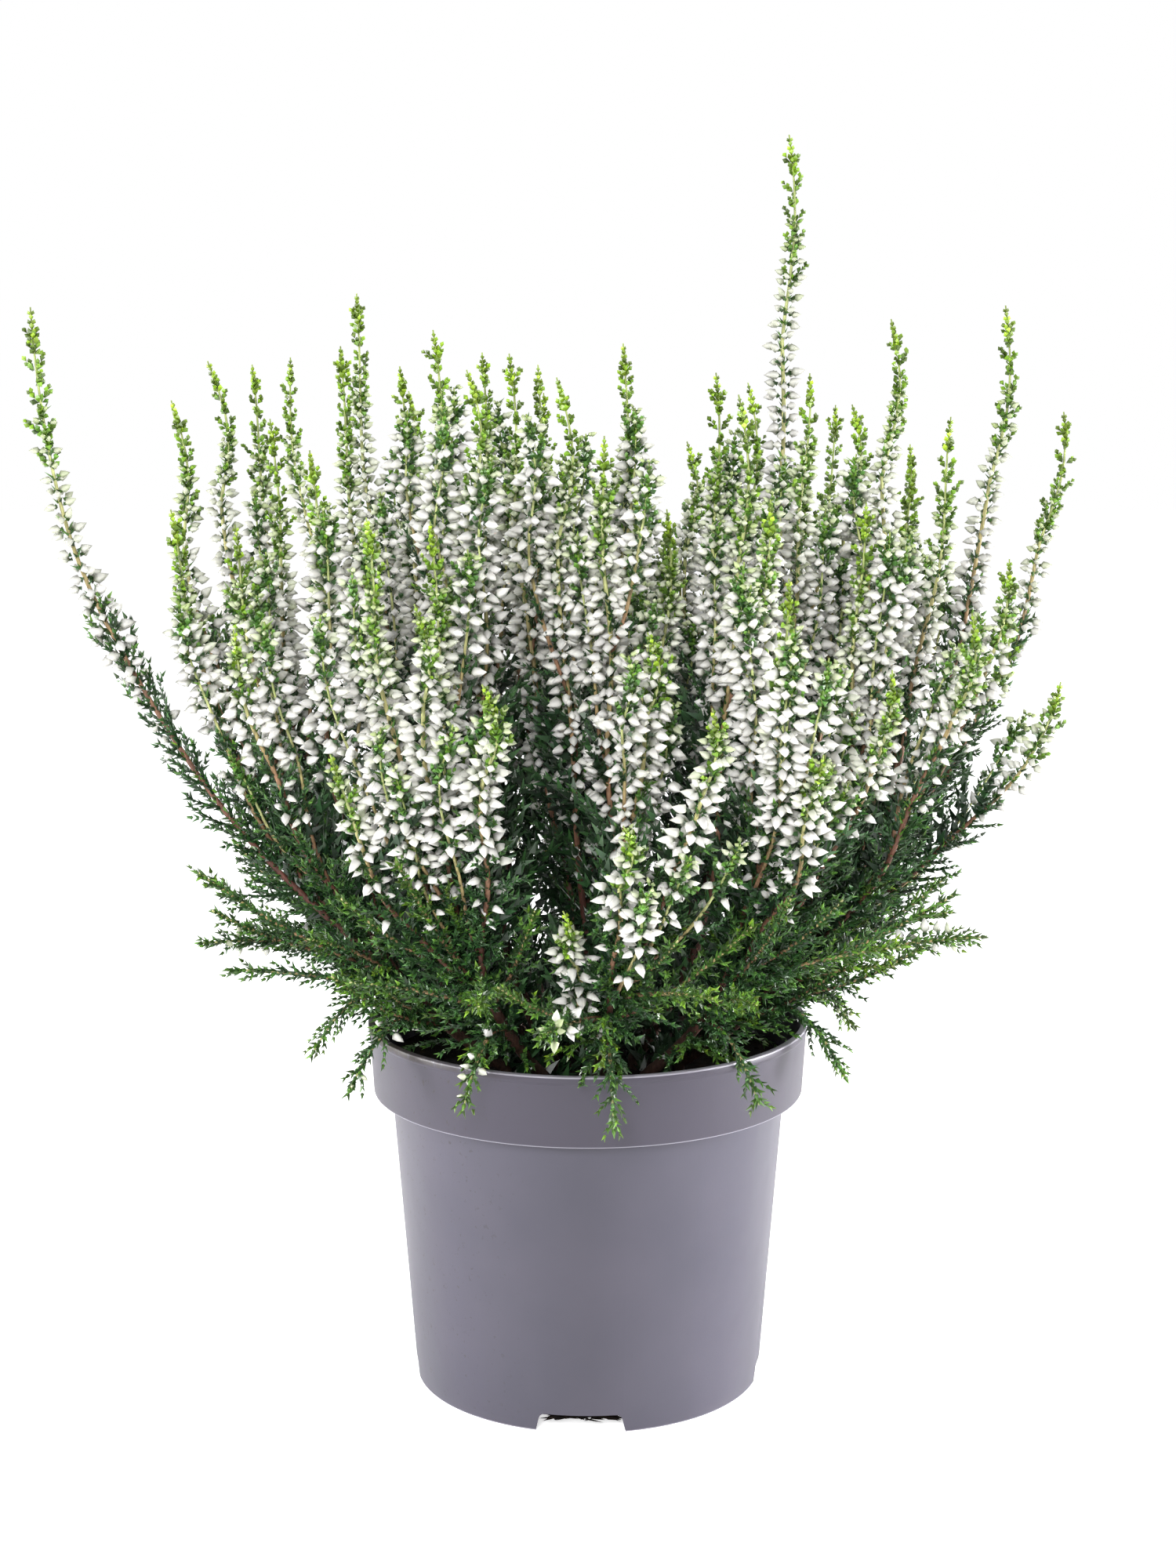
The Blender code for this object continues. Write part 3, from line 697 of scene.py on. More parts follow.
growth = {
    "fanFoot": 90 * mm,                 # the height from which the main stems fan out
    "soilSpread": 0.27,                 # how far out they stand there, as a share of their full spread
    "spreadRise": 50 * mm,              # the rise in which they come most of the way
    # how many main stems there are, how far out, and where the first one is, in degrees
    "rings": ((1, 0, 0), (7, 52 * mm, 12), (12, 100 * mm, 5)),
    "branching": (100 * mm, 132 * mm),
    "awayPower": 2.2,                   # how soon a shoot leaves its main stem
    "seed": 11,
    # the bush's rounded top, and the shoots behind that fill it up
    "domeHeight": 282 * mm,
    "domeDrop": 46 * mm,
    "domeRadius": 117 * mm,
    "domeUneven": (-14, 12),            # mm
    "fillCandidates": 150,
    "fillFromY": 24 * mm,
    "fillSpacing": 21 * mm,
    "flowerFoot": 150 * mm,
    "flowerFootShare": 0.52,
    "stemFoot": 9 * mm,                 # how deep it stands below the place where it fans out
    "stations": 30,                     # points along a main stem; a shoot has one more
    "sway": (0.6, 1.6),                 # mm
    "bowFrom": 0.74,                    # the share of a shoot above which it bows
    "longFrom": 50 * mm,                # shoots longer than this have longer green ends
}

# shoot tips (x, y, z) in millimetres
seenTips = (
    (-135, -50, 290), (-108, -10, 267), (-105, 35, 277), (-96, 60, 276), (-88, 86, 278),
    (-103, -46, 241), (-67, 22, 281), (-66, 62, 296), (-54, 98, 268), (-44, 64, 259),
    (-70, -32, 255), (-52, -78, 241), (-40, -10, 285), (-30, -40, 275), (-21, 10, 279),
    (-8, -22, 273), (-14, 44, 276), (4, -46, 259), (12, 74, 248), (12, 2, 244),
    (20, -28, 240), (22, 42, 233), (-38, -62, 239), (34, 8, 274), (37, -44, 269),
    (45, 48, 271), (54, 26, 337), (57, -14, 274), (62, 68, 254), (74, 92, 264),
    (74, 44, 265), (80, 6, 288), (94, 72, 253), (93, -18, 263), (114, 30, 292),
    (68, -52, 243), (43, -74, 245), (133, 42, 263), (106, -36, 228), (93, -62, 217),
    (124, -14, 194), (112, 4, 212), (46, -94, 228), (-24, -105, 205), (28, -108, 200),
    (54, -100, 188), (8, -108, 173), (-60, -92, 187), (14, -78, 214), (72, -78, 205),
    (-6, -84, 148), (-40, -92, 222), (-86, -62, 213), (-84, 2, 262), (-90, -26, 236),
)


def spread(height):
    # how far the bush has fanned out at a height
    rise = np.maximum(height - growth["fanFoot"], 0) / growth["spreadRise"]
    return growth["soilSpread"] + (1 - growth["soilSpread"]) * (1 - np.exp(-rise))


def spraySites():
    sites = []
    for count, radius, turn in growth["rings"]:
        for i in range(count):
            angle = math.radians(turn) + 2 * math.pi * i / count
            sites.append((radius * math.sin(angle), -radius * math.cos(angle)))
    return np.array(sites)


def planPlace(tip):
    return tip[:2] / spread(tip[2])


def allTips():
    rng = random.Random(growth["seed"])
    tips = [np.array(tip) * mm for tip in seenTips]
    golden = math.pi * (3 - math.sqrt(5))
    for i in range(growth["fillCandidates"]):
        radius = growth["domeRadius"] * math.sqrt((i + 0.5) / growth["fillCandidates"])
        height = growth["domeHeight"] - growth["domeDrop"] * (radius / growth["domeRadius"]) ** 2
        height += rng.uniform(*growth["domeUneven"]) * mm
        tip = np.array((radius * math.sin(i * golden), radius * math.cos(i * golden), height))
        nearest = min(np.linalg.norm(planPlace(tip) - planPlace(other)) for other in tips)
        if tip[1] > growth["fillFromY"] and nearest > growth["fillSpacing"]:
            tips.append(tip)
    return tips


def makePath(points):
    # a line through points, with the lengths along it, and what grows on it
    arcs = np.concatenate(([0], np.cumsum(np.linalg.norm(np.diff(points, axis=0), axis=1))))
    beyond = arcs[-1] - growth["longFrom"]
    return {"points": points, "arcs": arcs, "length": arcs[-1], "ways": unit(np.gradient(points, axis=0)),
            "tip": np.clip(newGrowth["tipShare"] * beyond, *newGrowth["tipLength"]),
            "full": np.clip(flowers["fullShare"] * beyond, *flowers["fullBelow"]),
            "young": 1.0, "sparse": 0.0}


def pathAt(path, arcs):
    # places and directions at lengths along a path
    places = np.column_stack([np.interp(arcs, path["arcs"], path["points"][:, i]) for i in range(3)])
    ways = np.column_stack([np.interp(arcs, path["arcs"], path["ways"][:, i]) for i in range(3)])
    return places, unit(ways)


def stemPath(site, top):
    heights = np.linspace(growth["fanFoot"], top, growth["stations"])
    fan = np.column_stack((np.outer(spread(heights), site), heights))
    foot = fan[:1] - (0, 0, growth["stemFoot"])
    return makePath(np.concatenate((foot, fan)))


def shootPath(site, tip, branching, rng):
    # a shoot's middle from the main stem to its tip, with a slight sway
    along = np.linspace(0, 1, growth["stations"] + 1)
    height = branching + (tip[2] - branching) * along
    away = 1 - (1 - along) ** growth["awayPower"]
    place = site + np.outer(away, planPlace(tip) - site)
    points = np.column_stack((place * spread(height)[:, None], height))
    sway = np.sin(along * math.pi) * rng.uniform(*growth["sway"]) * mm
    phase = rng.uniform(0, 2 * math.pi, 2)
    points[:, 0] += sway * np.sin(along * 12 + phase[0])
    points[:, 1] += sway * np.sin(along * 10 + phase[1])
    # the green end bows and leans over a little
    bow = np.sin(np.clip((along - growth["bowFrom"]) / (1 - growth["bowFrom"]), 0, 1) * math.pi)
    points[:, 0] += bow * rng.normal(1.6, 1.4) * mm
    points[:, 1] += bow * rng.normal(0, 1.2) * mm
    return makePath(points)


def sideSpike(parent, rng):
    # a shorter flowering side shoot: it leaves its parent and then runs beside it, under the bush's dome
    radius = np.linalg.norm(parent["points"][:, :2], axis=1)
    dome = growth["domeHeight"] - growth["domeDrop"] * (radius / growth["domeRadius"]) ** 2
    inside = parent["points"][:, 2] < dome - rng.uniform(*sideSpikes["below"])
    end = min(parent["arcs"][inside].max(), parent["length"] - rng.uniform(*sideSpikes["below"]))
    start = max(end - rng.uniform(*sideSpikes["length"]), 0.2 * end)
    share = np.linspace(0, 1, 13)
    places, ways = pathAt(parent, start + share * (end - start))
    side, front = squareAxes(ways)
    angle = rng.uniform(0, 2 * math.pi)
    away = rng.uniform(*sideSpikes["away"]) * (1 - (1 - share) ** 2)
    out = side[:1] * math.cos(angle) + front[:1] * math.sin(angle)
    spike = makePath(places + out * away[:, None])
    spike["tip"], spike["full"] = sideSpikes["greenEnd"]
    spike["young"] = sideSpikes["young"]
    return spike


def sprays():
    # every spray: its number, site, and its shoots as (tip, branching height), leader first
    sites = spraySites()
    carried = [[] for site in sites]
    for tip in allTips():
        carried[int(np.argmin(np.linalg.norm(sites - planPlace(tip), axis=1)))].append(tip)
    low, high = growth["branching"]
    for number, (site, tips) in enumerate(zip(sites, carried), 1):
        tips.sort(key=lambda tip: np.linalg.norm(planPlace(tip) - site))
        shoots = [(tips[0], high)]
        for i, tip in enumerate(tips[1:]):
            shoots.append((tip, low + (high - low) * (i + 0.5) / len(tips)))
        yield number, site, shoots


# Foliage: leafy twigs, flower spikes and their green tips, as copies of four small shapes

sideSpikes = {
    "perShoot": (2.3, 2.5),         # on the outer sprays and inside
    "length": (48 * mm, 95 * mm),
    "below": (3 * mm, 32 * mm),     # how far a side spike stays under its parent's tip
    "away": (6 * mm, 14 * mm),
    "greenEnd": (7 * mm, 12 * mm),  # leafy, and above the full grown buds
    "young": 0.62,                  # its tip is not as fresh as a main shoot's
}

leafy = {
    "nodeStep": 3.7 * mm,           # between pairs of side twigs
    "twigLength": (8 * mm, 20 * mm),
    "twigOpening": math.radians(43),
    "twigRadius": 0.5 * mm,
    "subStep": 3.4 * mm,
    "subLength": (3 * mm, 7 * mm),
    "subShare": (0.8, 0.25),        # how many of them there are in front and behind
    "subOpening": math.radians(44),
    "subRadius": 0.3 * mm,
    "sparser": {"leader": 1.0, "inner": 2.4, "side": 4.5},  # wider steps on the lesser shoots
    "shootNodeStep": 2.9 * mm,      # on the leafy shoots and the twigs at the rim
    "leafStep": 1.6 * mm,
    "leafLength": 2.4 * mm,
    "leafWidth": 1.3 * mm,
    "leafOpening": math.radians(36),
}

# coarse dark twigs that point into the bush, of which only the shade shows between the others
filling = {
    "step": (4.4 * mm, 3.4 * mm),   # on the outer sprays, and inside and behind
    "twigLength": (14 * mm, 28 * mm),
    "twigOpening": math.radians(50),
    "twigRadius": 1.0 * mm,
    "highest": (160 * mm, 186 * mm),
    "denseBehind": 50 * mm,         # sprays further back are filled like the inside
    "leafStep": 3.3 * mm,
    "leafLength": 4.6 * mm,
    "leafWidth": 2.8 * mm,
    "leafOpening": math.radians(36),
}

# twigs that spread over the rim; where there are two values, for the lowest and the highest twig
skirt = {
    "perSpray": 20,
    "height": (98 * mm, 138 * mm),
    "turn": math.radians(62),
    "lift": (-0.05, 0.6),           # radians
    "twigLength": (16 * mm, 30 * mm),
    "droop": (-0.2, 0.2),
}

# leafy shoots without flowers that curve up and out of the foot of an outer spray
leafyShoots = {
    "perSpray": 3,
    "height": (103 * mm, 126 * mm),
    "turn": math.radians(48),
    "rise": (0.35, 0.85),           # radians
    "length": (45 * mm, 75 * mm),   # to the sides; a quarter shorter to the front and back
    "curve": 12 * mm,
    "twigLength": (5 * mm, 10 * mm),
}

flowers = {
    "nodeStep": 3.15 * mm,
    "budLength": 4.3 * mm,
    "budRadius": 1.35 * mm,
    "standOff": (1.1 * mm, 2.7 * mm),
    "bractLength": 2.3 * mm,
    "bractWidth": 1.5 * mm,
    # the turn and tilt of each bud on one side of a node, in radians, the surest bud first
    "places": ((0, -0.12), (0.75, 0.12), (-0.75, -0.3), (0.2, 0.45)),
    "perSide": 3.0,
    "higherAside": 36 * mm,         # how much higher the flowers start on the shoots furthest aside
    "aside": (45 * mm, 125 * mm),   # where that begins, and where it is in full
    "sparseStep": 3.3 * mm,         # between nodes on the spikes that stand apart and the lowest ones
    "apart": (95 * mm, 125 * mm),   # a spike whose tip is further aside stands more and more apart
    "above": 300 * mm,              # a spike with a higher tip stands apart as well
    "lowest": (170 * mm, 205 * mm),  # a spike with a tip as low as the first is as sparse as lowestShare
    "lowestShare": 0.8,
    "thinFoot": 20 * mm,            # over which the buds thin out towards the flowers' foot
    "fullShare": 0.42,              # how soon below a long shoot's tip the buds are full grown
    "fullBelow": (14 * mm, 50 * mm),
}

newGrowth = {
    "tipShare": 0.25,               # of a long shoot
    "tipLength": (10 * mm, 30 * mm),
    "nodeStep": 3.9 * mm,
    "sprigLength": (2.8 * mm, 5.4 * mm),
    "sprigOpening": math.radians(38),
    "columnLength": 9 * mm,
    "columnStep": 1.15 * mm,
    "leafStep": 1.25 * mm,
    "leafLength": 2.3 * mm,
    "leafWidth": 1.65 * mm,
    "leafOpening": math.radians(27),
}


def squareAxes(ways):
    # two axes square to each way, the same way round along a shoot
    side = unit(np.array((1.0, 0, 0)) - ways * ways[:, :1])
    return side, np.cross(ways, side)


def leaning(ways, turns, opening):
    # ways that lean off the given ways by an angle, and their upper sides
    side, front = squareAxes(ways)
    out = side * np.cos(turns)[:, None] + front * np.sin(turns)[:, None]
    opening = np.broadcast_to(opening, (len(ways),))[:, None]
    return ways * np.cos(opening) + out * np.sin(opening), ways * np.sin(opening) - out * np.cos(opening)


def sprout(places, ways, turns, opening, length, bend, fresh, radius):
    # twigs that leave their places at an angle, and bend back towards the old way
    way, up = leaning(ways, turns, opening)
    twigs = {"base": places, "way": way, "up": up}
    for key, value in (("length", length), ("bend", bend * length), ("fresh", fresh), ("radius", radius)):
        twigs[key] = np.broadcast_to(value, (len(places),))
    return twigs


def joinTwigs(groups):
    return {key: np.concatenate([group[key] for group in groups]) for key in groups[0]}


def twigAt(twigs, which, share):
    # places and directions at shares of the length of the twigs given by which
    way, up = twigs["way"][which], twigs["up"][which]
    length, bend = twigs["length"][which][:, None], twigs["bend"][which][:, None]
    share = share[:, None]
    places = twigs["base"][which] + way * length * share + up * bend * share ** 2
    return places, unit(way * length + up * 2 * bend * share)


def twigStations(twigs, step, start=0.0):
    # evenly spaced stations on every twig: which twig, the share of its length and its number on it
    counts = np.maximum(1, np.round(twigs["length"] * (1 - start) / step)).astype(int)
    which = np.repeat(np.arange(len(counts)), counts)
    number = np.arange(len(which)) - np.repeat(np.cumsum(counts) - counts, counts)
    return which, start + (1 - start) * (number + 0.5) / counts[which], number


def subTwigs(twigs, rng):
    which, share, number = twigStations(twigs, leafy["subStep"], 0.25)
    keep = rng.uniform(size=len(which)) < leafy["subShare"][int(twigs["base"][0, 1] > 0)]
    which, share, number = which[keep], share[keep], number[keep]
    places, ways = twigAt(twigs, which, share)
    turn = number * math.pi / 2 + rng.uniform(0, 0.6, len(which)) + which
    turn = turn + math.pi * (rng.uniform(size=len(which)) < 0.5)
    length = rng.uniform(*leafy["subLength"], len(which)) * (1 - 0.5 * share)
    fresh = twigs["fresh"][which] + 0.08
    return sprout(places, ways, turn, leafy["subOpening"], length, 0.15, fresh, leafy["subRadius"])


def dressTwigs(twigs, heap, look, rng, tipFresh=0.25):
    # opposite pairs of leaves, each pair a quarter turn on from the last
    which, share, number = twigStations(twigs, look["leafStep"])
    places, ways = twigAt(twigs, which, share)
    roll = (number % 2) * math.pi / 2 + which * 2.4
    for half in (0, math.pi):
        opening = look["leafOpening"] * (1.15 - 0.5 * share) + rng.normal(0, 0.08, len(which))
        way, under = leaning(ways, roll + half + rng.normal(0, 0.15, len(which)), opening)
        size = (1 - 0.3 * share) * rng.uniform(0.8, 1.15, len(which))
        fresh = twigs["fresh"][which] + tipFresh * share ** 2 + rng.normal(0, 0.04, len(which))
        # the tone is random and mostly low, so that a few leaves come out much paler as painted glints
        addCopies(heap, places, way, -under, look["leafLength"] * size, look["leafWidth"] * size,
                  rng.uniform(0, 1, len(which)) ** 1.8, fresh)


def plantTwigs(twigs, heap):
    addCopies(heap, twigs["base"], twigs["way"], twigs["up"], twigs["length"], twigs["radius"], 0.1,
              0.2 + 0.5 * twigs["fresh"], twigs["bend"])


def growBuds(path, low, high, turn, perSide, step, heaps, rng):
    # clusters of buds on opposite sides at every node, smaller and greener towards the tip; perSide is how
    # many there are, on average, on one side
    arcs = np.arange(low - 4 * mm, high + 8 * mm, step)
    arcs = arcs + rng.normal(0, 0.3 * mm, len(arcs))
    number = np.arange(len(arcs))
    for half in (0, math.pi):
        for slot, (fan, lift) in enumerate(flowers["places"]):
            late = np.clip((path["length"] - path["tip"] + 6 * mm - arcs) / path["full"], 0, 1)
            early = np.clip((arcs - low) / flowers["thinFoot"], 0.25, 1)
            keep = rng.uniform(size=len(arcs)) < np.clip(perSide - slot, 0, 1) * early
            count = int(keep.sum())
            if not count:
                continue
            late = late[keep]
            places, ways = pathAt(path, arcs[keep] + rng.normal(0, 0.5 * mm, count))
            angle = turn + number[keep] * math.pi / 2 + half + fan + rng.normal(0, 0.22, count)
            tilt = lift + rng.normal(0, 0.2, count) + 0.35 * (1 - late)
            way, under = leaning(ways, angle, math.pi / 2 - tilt)
            scale = (0.42 + 0.58 * late ** 0.6) * (0.85 + 0.15 * early[keep])
            scale = scale * rng.uniform(0.85, 1.12, count)
            stand = (rng.uniform(*flowers["standOff"], count) * scale)[:, None]
            fresh = np.clip(0.9 * (1 - late) + rng.normal(0.05, 0.1, count), 0, 1)
            base = places + leaning(ways, angle, math.pi / 2)[0] * stand
            # the buds' tone is held lower on sparse spikes: painted shade that greys the buds standing
            # apart and the lowest ones
            addCopies(heaps["buds"], base, way, -under, flowers["budLength"] * scale,
                      flowers["budRadius"] * scale, rng.uniform(0, 1 - 0.85 * path["sparse"], count), fresh)
            if slot > 1:
                continue
            # a bract hugs the bud's foot
            lean, top = leaning(way, rng.uniform(0, 2 * math.pi, count), 0.45)
            addCopies(heaps["leaves"], base - way * 0.4 * mm, lean, -top, flowers["bractLength"] * scale,
                      flowers["bractWidth"] * scale, rng.uniform(0, 0.7, count), 0.22 + 0.35 * fresh)


def growTufts(path, low, high, number, step, heap, rng):
    # small leaves round the stem
    arcs = np.repeat(np.arange(low, high + 6 * mm, step), number)
    count = len(arcs)
    places, ways = pathAt(path, arcs + rng.uniform(-1, 1, count) * mm)
    way, under = leaning(ways, rng.uniform(0, 2 * math.pi, count), rng.uniform(0.5, 1.1, count))
    fresh = 0.12 + 0.45 * (arcs - low) / (high - low + mm) + rng.normal(0, 0.08, count)
    addCopies(heap, places - under * 0.5 * mm, way, -under, rng.uniform(1.6, 3.0, count) * mm, 0.9 * mm,
              rng.uniform(0, 1, count) ** 1.5, fresh)


def growTip(path, high, turn, heaps, rng):
    # the green tip: short stout sprigs in opposite pairs, then a tight column of leaves
    length = path["length"]
    arcs = np.arange(high - 9 * mm, length - 6 * mm, newGrowth["nodeStep"])
    number = np.arange(len(arcs))
    left = np.clip((length - arcs) / path["tip"], 0, 1)
    shortest, longest = newGrowth["sprigLength"]
    groups = []
    places, ways = pathAt(path, arcs)
    for half in (0, math.pi):
        turns = turn + number * math.pi / 2 + half + rng.normal(0, 0.25, len(arcs))
        lengths = (shortest + (longest - shortest) * left) * rng.uniform(0.6, 1.2, len(arcs))
        opening = newGrowth["sprigOpening"] + rng.normal(0, 0.12, len(arcs))
        fresh = (0.6 + 0.2 * (1 - left)) * path["young"]
        groups.append(sprout(places, ways, turns, opening, lengths, 0.1, fresh, 0.3 * mm))
    dressTwigs(joinTwigs(groups), heaps["tips"], newGrowth, rng, 0.15)
    arcs = np.arange(length - newGrowth["columnLength"], length - mm, newGrowth["columnStep"])
    places, ways = pathAt(path, arcs)
    for half in (0, math.pi):
        turns = turn + np.arange(len(arcs)) * math.pi / 2 + half
        way, under = leaning(ways, turns, newGrowth["leafOpening"])
        size = np.linspace(1, 0.65, len(arcs))
        addCopies(heaps["tips"], places, way, -under, newGrowth["leafLength"] * size,
                  newGrowth["leafWidth"] * size, rng.uniform(0, 1, len(arcs)) ** 1.5,
                  rng.uniform(0.75, 1, len(arcs)) * path["young"])


def growTwigs(path, arcs, lengths, fresh, look, heap, rng):
    # opposite pairs of leafy twigs along a path
    places, ways = pathAt(path, arcs)
    turns = rng.uniform(0, 2 * math.pi) + np.arange(len(arcs)) * math.pi / 2
    groups = []
    for half in (0, math.pi):
        opening = leafy["twigOpening"] + rng.normal(0, 0.13, len(arcs))
        groups.append(sprout(places, ways, turns + half + rng.normal(0, 0.3, len(arcs)), opening,
                             lengths * rng.uniform(0.7, 1.2, len(arcs)), rng.uniform(0.08, 0.25), fresh,
                             look["twigRadius"]))
    twigs = joinTwigs(groups)
    dressTwigs(twigs, heap, look, rng)
    return twigs


def growFoliage(path, start, end, low, kind, heaps, rng):
    # leafy twigs from the foot up to and a little into the flowers, fewer on side spikes and inside
    arcs = np.arange(start, end, leafy["nodeStep"] * leafy["sparser"][kind])
    if not len(arcs):
        return
    above = np.clip((arcs - low) / (end - low + mm), 0, 1)
    lengths = rng.uniform(*leafy["twigLength"], len(arcs)) * (1.25 - 0.75 * arcs / end)
    fresh = 0.05 + 0.2 * above + rng.uniform(0, 0.45, len(arcs)) ** 2
    twigs = growTwigs(path, arcs, lengths, fresh, leafy, heaps["leaves"], rng)
    plantTwigs(twigs, heaps["twigs" if kind == "leader" else "leaves"])
    if kind == "leader":
        subs = subTwigs(twigs, rng)
        dressTwigs(subs, heaps["leaves"], leafy, rng)
        plantTwigs(subs, heaps["leaves"])


def growFilling(path, inner, heaps, rng):
    highest = float(np.interp(filling["highest"][int(inner)], path["points"][:, 2], path["arcs"]))
    arcs = np.arange(4 * mm, min(highest, 0.7 * path["length"]), filling["step"][int(inner)])
    places, ways = pathAt(path, arcs)
    side, front = squareAxes(ways)
    inward = -places * (1, 1, 0)
    turns = np.arctan2(np.sum(inward * front, axis=1), np.sum(inward * side, axis=1))
    lengths = rng.uniform(*filling["twigLength"], len(arcs))
    turns = turns + rng.normal(0, 1.5 if inner else 0.7, len(arcs))
    twigs = sprout(places, ways, turns, filling["twigOpening"], lengths, 0.1, 0.0, filling["twigRadius"])
    dressTwigs(twigs, heaps["leaves"], filling, rng)
    plantTwigs(twigs, heaps["leaves"])


def growSkirt(site, heaps, rng):
    # leafy twigs low on an outer spray, outwards over the rim and drooping
    count = skirt["perSpray"]
    share = np.linspace(0, 1, count)
    heights = np.interp(share, (0, 1), skirt["height"])
    places = np.column_stack((np.outer(np.ones(count), site) * spread(heights)[:, None], heights))
    angle = math.atan2(site[0], -site[1]) + rng.uniform(-1, 1, count) * skirt["turn"]
    lift = np.interp(share, (0, 1), skirt["lift"]) + rng.normal(0, 0.15, count)
    out = np.column_stack((np.sin(angle), -np.cos(angle), np.zeros(count)))
    twigs = {
        "base": places,
        "way": out * np.cos(lift)[:, None] + np.outer(np.sin(lift), (0, 0, 1)),
        "up": np.outer(np.cos(lift), (0, 0, 1)) - out * np.sin(lift)[:, None],
        "length": np.interp(share, (0, 1), skirt["twigLength"]) * rng.uniform(0.75, 1.15, count),
        "fresh": 0.1 + rng.uniform(0, 0.65, count) ** 2,
        "radius": np.full(count, leafy["twigRadius"]),
    }
    droop = np.interp(share, (0, 1), skirt["droop"]) + rng.normal(0, 0.07, count)
    twigs["bend"] = twigs["length"] * droop
    dressTwigs(twigs, heaps["leaves"], leafy, rng, 0.35)
    plantTwigs(twigs, heaps["twigs"])
    subs = subTwigs(twigs, rng)
    dressTwigs(subs, heaps["leaves"], leafy, rng)
    plantTwigs(subs, heaps["leaves"])


def growShoot(path, low, kind, heaps, rng):
    # what a flowering shoot carries: leafy twigs and small leaves, buds, and the green tip
    sparse = path["sparse"]
    turn = rng.uniform(0, math.pi / 2) * (1 - 0.8 * sparse)
    high = max(low, path["length"] - path["tip"])
    perSide = flowers["perSide"] - (1.0 if kind == "side" else sparse)
    step = flowers["nodeStep"] + (flowers["sparseStep"] - flowers["nodeStep"]) * sparse
    growFoliage(path, 5 * mm, low + 0.4 * (high - low), low, kind, heaps, rng)
    growTufts(path, low - 4 * mm, high, 2 if kind == "side" else 4, step, heaps["leaves"], rng)
    if kind != "side":
        growTufts(path, 10 * mm, low - 8 * mm, 3, 2.2 * mm, heaps["leaves"], rng)
    growBuds(path, low, high, turn, perSide, step, heaps, rng)
    growTip(path, high, turn, heaps, rng)


rimTwigs = {
    "edgeSite": 80 * mm,
    "low": 108 * mm,
    "higher": 6 * mm,
    "turn": math.radians(25),
    "hangLength": (24 * mm, 28 * mm),
    "hangLift": 14 * mm,
    "hangDroop": (26 * mm, 32 * mm),
    "sideLength": (36 * mm, 50 * mm),
    "sideLift": (12 * mm, 24 * mm),
    "sideDroop": 6 * mm,
    "swell": (0.92, 1.05),
    "twigLength": (6 * mm, 12 * mm),
    "flowering": 0.35,              # the share of them that carries buds
}


def rimTwigPlan(number, site, shootCount):
    # the CAD's own draws, so that these twigs lie where its twigs are
    if np.linalg.norm(site) < rimTwigs["edgeSite"]:
        return []
    rng = random.Random(growth["seed"] * 100 + number)
    for i in range(shootCount):
        rng.uniform(*rimTwigs["swell"])
        rng.uniform(0, math.pi / 2)
    outward = math.atan2(site[0], -site[1])
    length, droop = rng.uniform(*rimTwigs["hangLength"]), rng.uniform(*rimTwigs["hangDroop"])
    plan = [(rimTwigs["low"], outward, length, rimTwigs["hangLift"], droop)]
    for i, side in enumerate((-1, 1)):
        height = rimTwigs["low"] + rimTwigs["higher"] * (i + 1)
        length, lift = rng.uniform(*rimTwigs["sideLength"]), rng.uniform(*rimTwigs["sideLift"])
        plan.append((height, outward + side * rimTwigs["turn"], length, lift, rimTwigs["sideDroop"]))
    return plan


def growLeafyPath(path, reach, fresh, heaps, rng):
    # a leafy shoot: opposite twigs that get shorter towards its end, and leaves on the shoot itself
    arcs = np.arange(2 * mm, path["length"] - 2 * mm, leafy["shootNodeStep"])
    left = 1 - arcs / path["length"]
    lengths = rng.uniform(*reach, len(arcs)) * (0.4 + 0.8 * left)
    fresher = fresh + 0.35 * (1 - left) ** 1.5 + rng.normal(0, 0.05, len(arcs))
    twigs = growTwigs(path, arcs, lengths, fresher, leafy, heaps["leaves"], rng)
    plantTwigs(twigs, heaps["leaves"])
    arcs = np.repeat(np.arange(0, path["length"], leafy["leafStep"]), 2)
    places, ways = pathAt(path, arcs)
    number = np.arange(len(arcs))
    way, under = leaning(ways, (number // 2) * math.pi / 2 + (number % 2) * math.pi, 0.55)
    addCopies(heaps["leaves"], places, way, -under, leafy["leafLength"], leafy["leafWidth"],
              rng.uniform(0, 1, len(arcs)) ** 1.8, fresh + 0.4 * (arcs / path["length"]) ** 2)


def growRimTwig(site, plan, tubes, heaps, rng):
    height, angle, length, lift, droop = plan
    start = np.append(site * spread(height), height)
    out = np.array((math.sin(angle), -math.cos(angle), 0))
    t = np.linspace(0, 1, 13)
    points = start + np.outer(length * t, out) + np.outer(lift * t - droop * t ** 2, (0, 0, 1))
    path = makePath(points)
    tubes.append((path, np.linspace(0.75, 0.25, 13) * mm, np.linspace(0.2, 0.75, 13)))
    growLeafyPath(path, rimTwigs["twigLength"], rng.uniform(0.05, 0.3), heaps, rng)
    if rng.uniform() < rimTwigs["flowering"]:
        growBuds(path, 0.4 * path["length"], 0.7 * path["length"], 0, 1.2, flowers["nodeStep"], heaps, rng)


def growLeafyShoot(site, tubes, heaps, rng):
    height = rng.uniform(*leafyShoots["height"])
    angle = math.atan2(site[0], -site[1]) + rng.uniform(-1, 1) * leafyShoots["turn"]
    rise = rng.uniform(*leafyShoots["rise"])
    out = np.array((math.sin(angle) * math.cos(rise), -math.cos(angle) * math.cos(rise), math.sin(rise)))
    t = np.linspace(0, 1, 11)
    length = rng.uniform(*leafyShoots["length"]) * (0.75 + 0.25 * abs(math.sin(angle)))
    points = np.append(site * spread(height), height) + np.outer(length * t, out)
    points = points + np.outer(t ** 2 - t, (0, 0, 1)) * leafyShoots["curve"]
    path = makePath(points)
    tubes.append((path, np.linspace(0.7, 0.25, 11) * mm, np.linspace(0.15, 0.7, 11)))
    growLeafyPath(path, leafyShoots["twigLength"], rng.uniform(0, 0.25), heaps, rng)


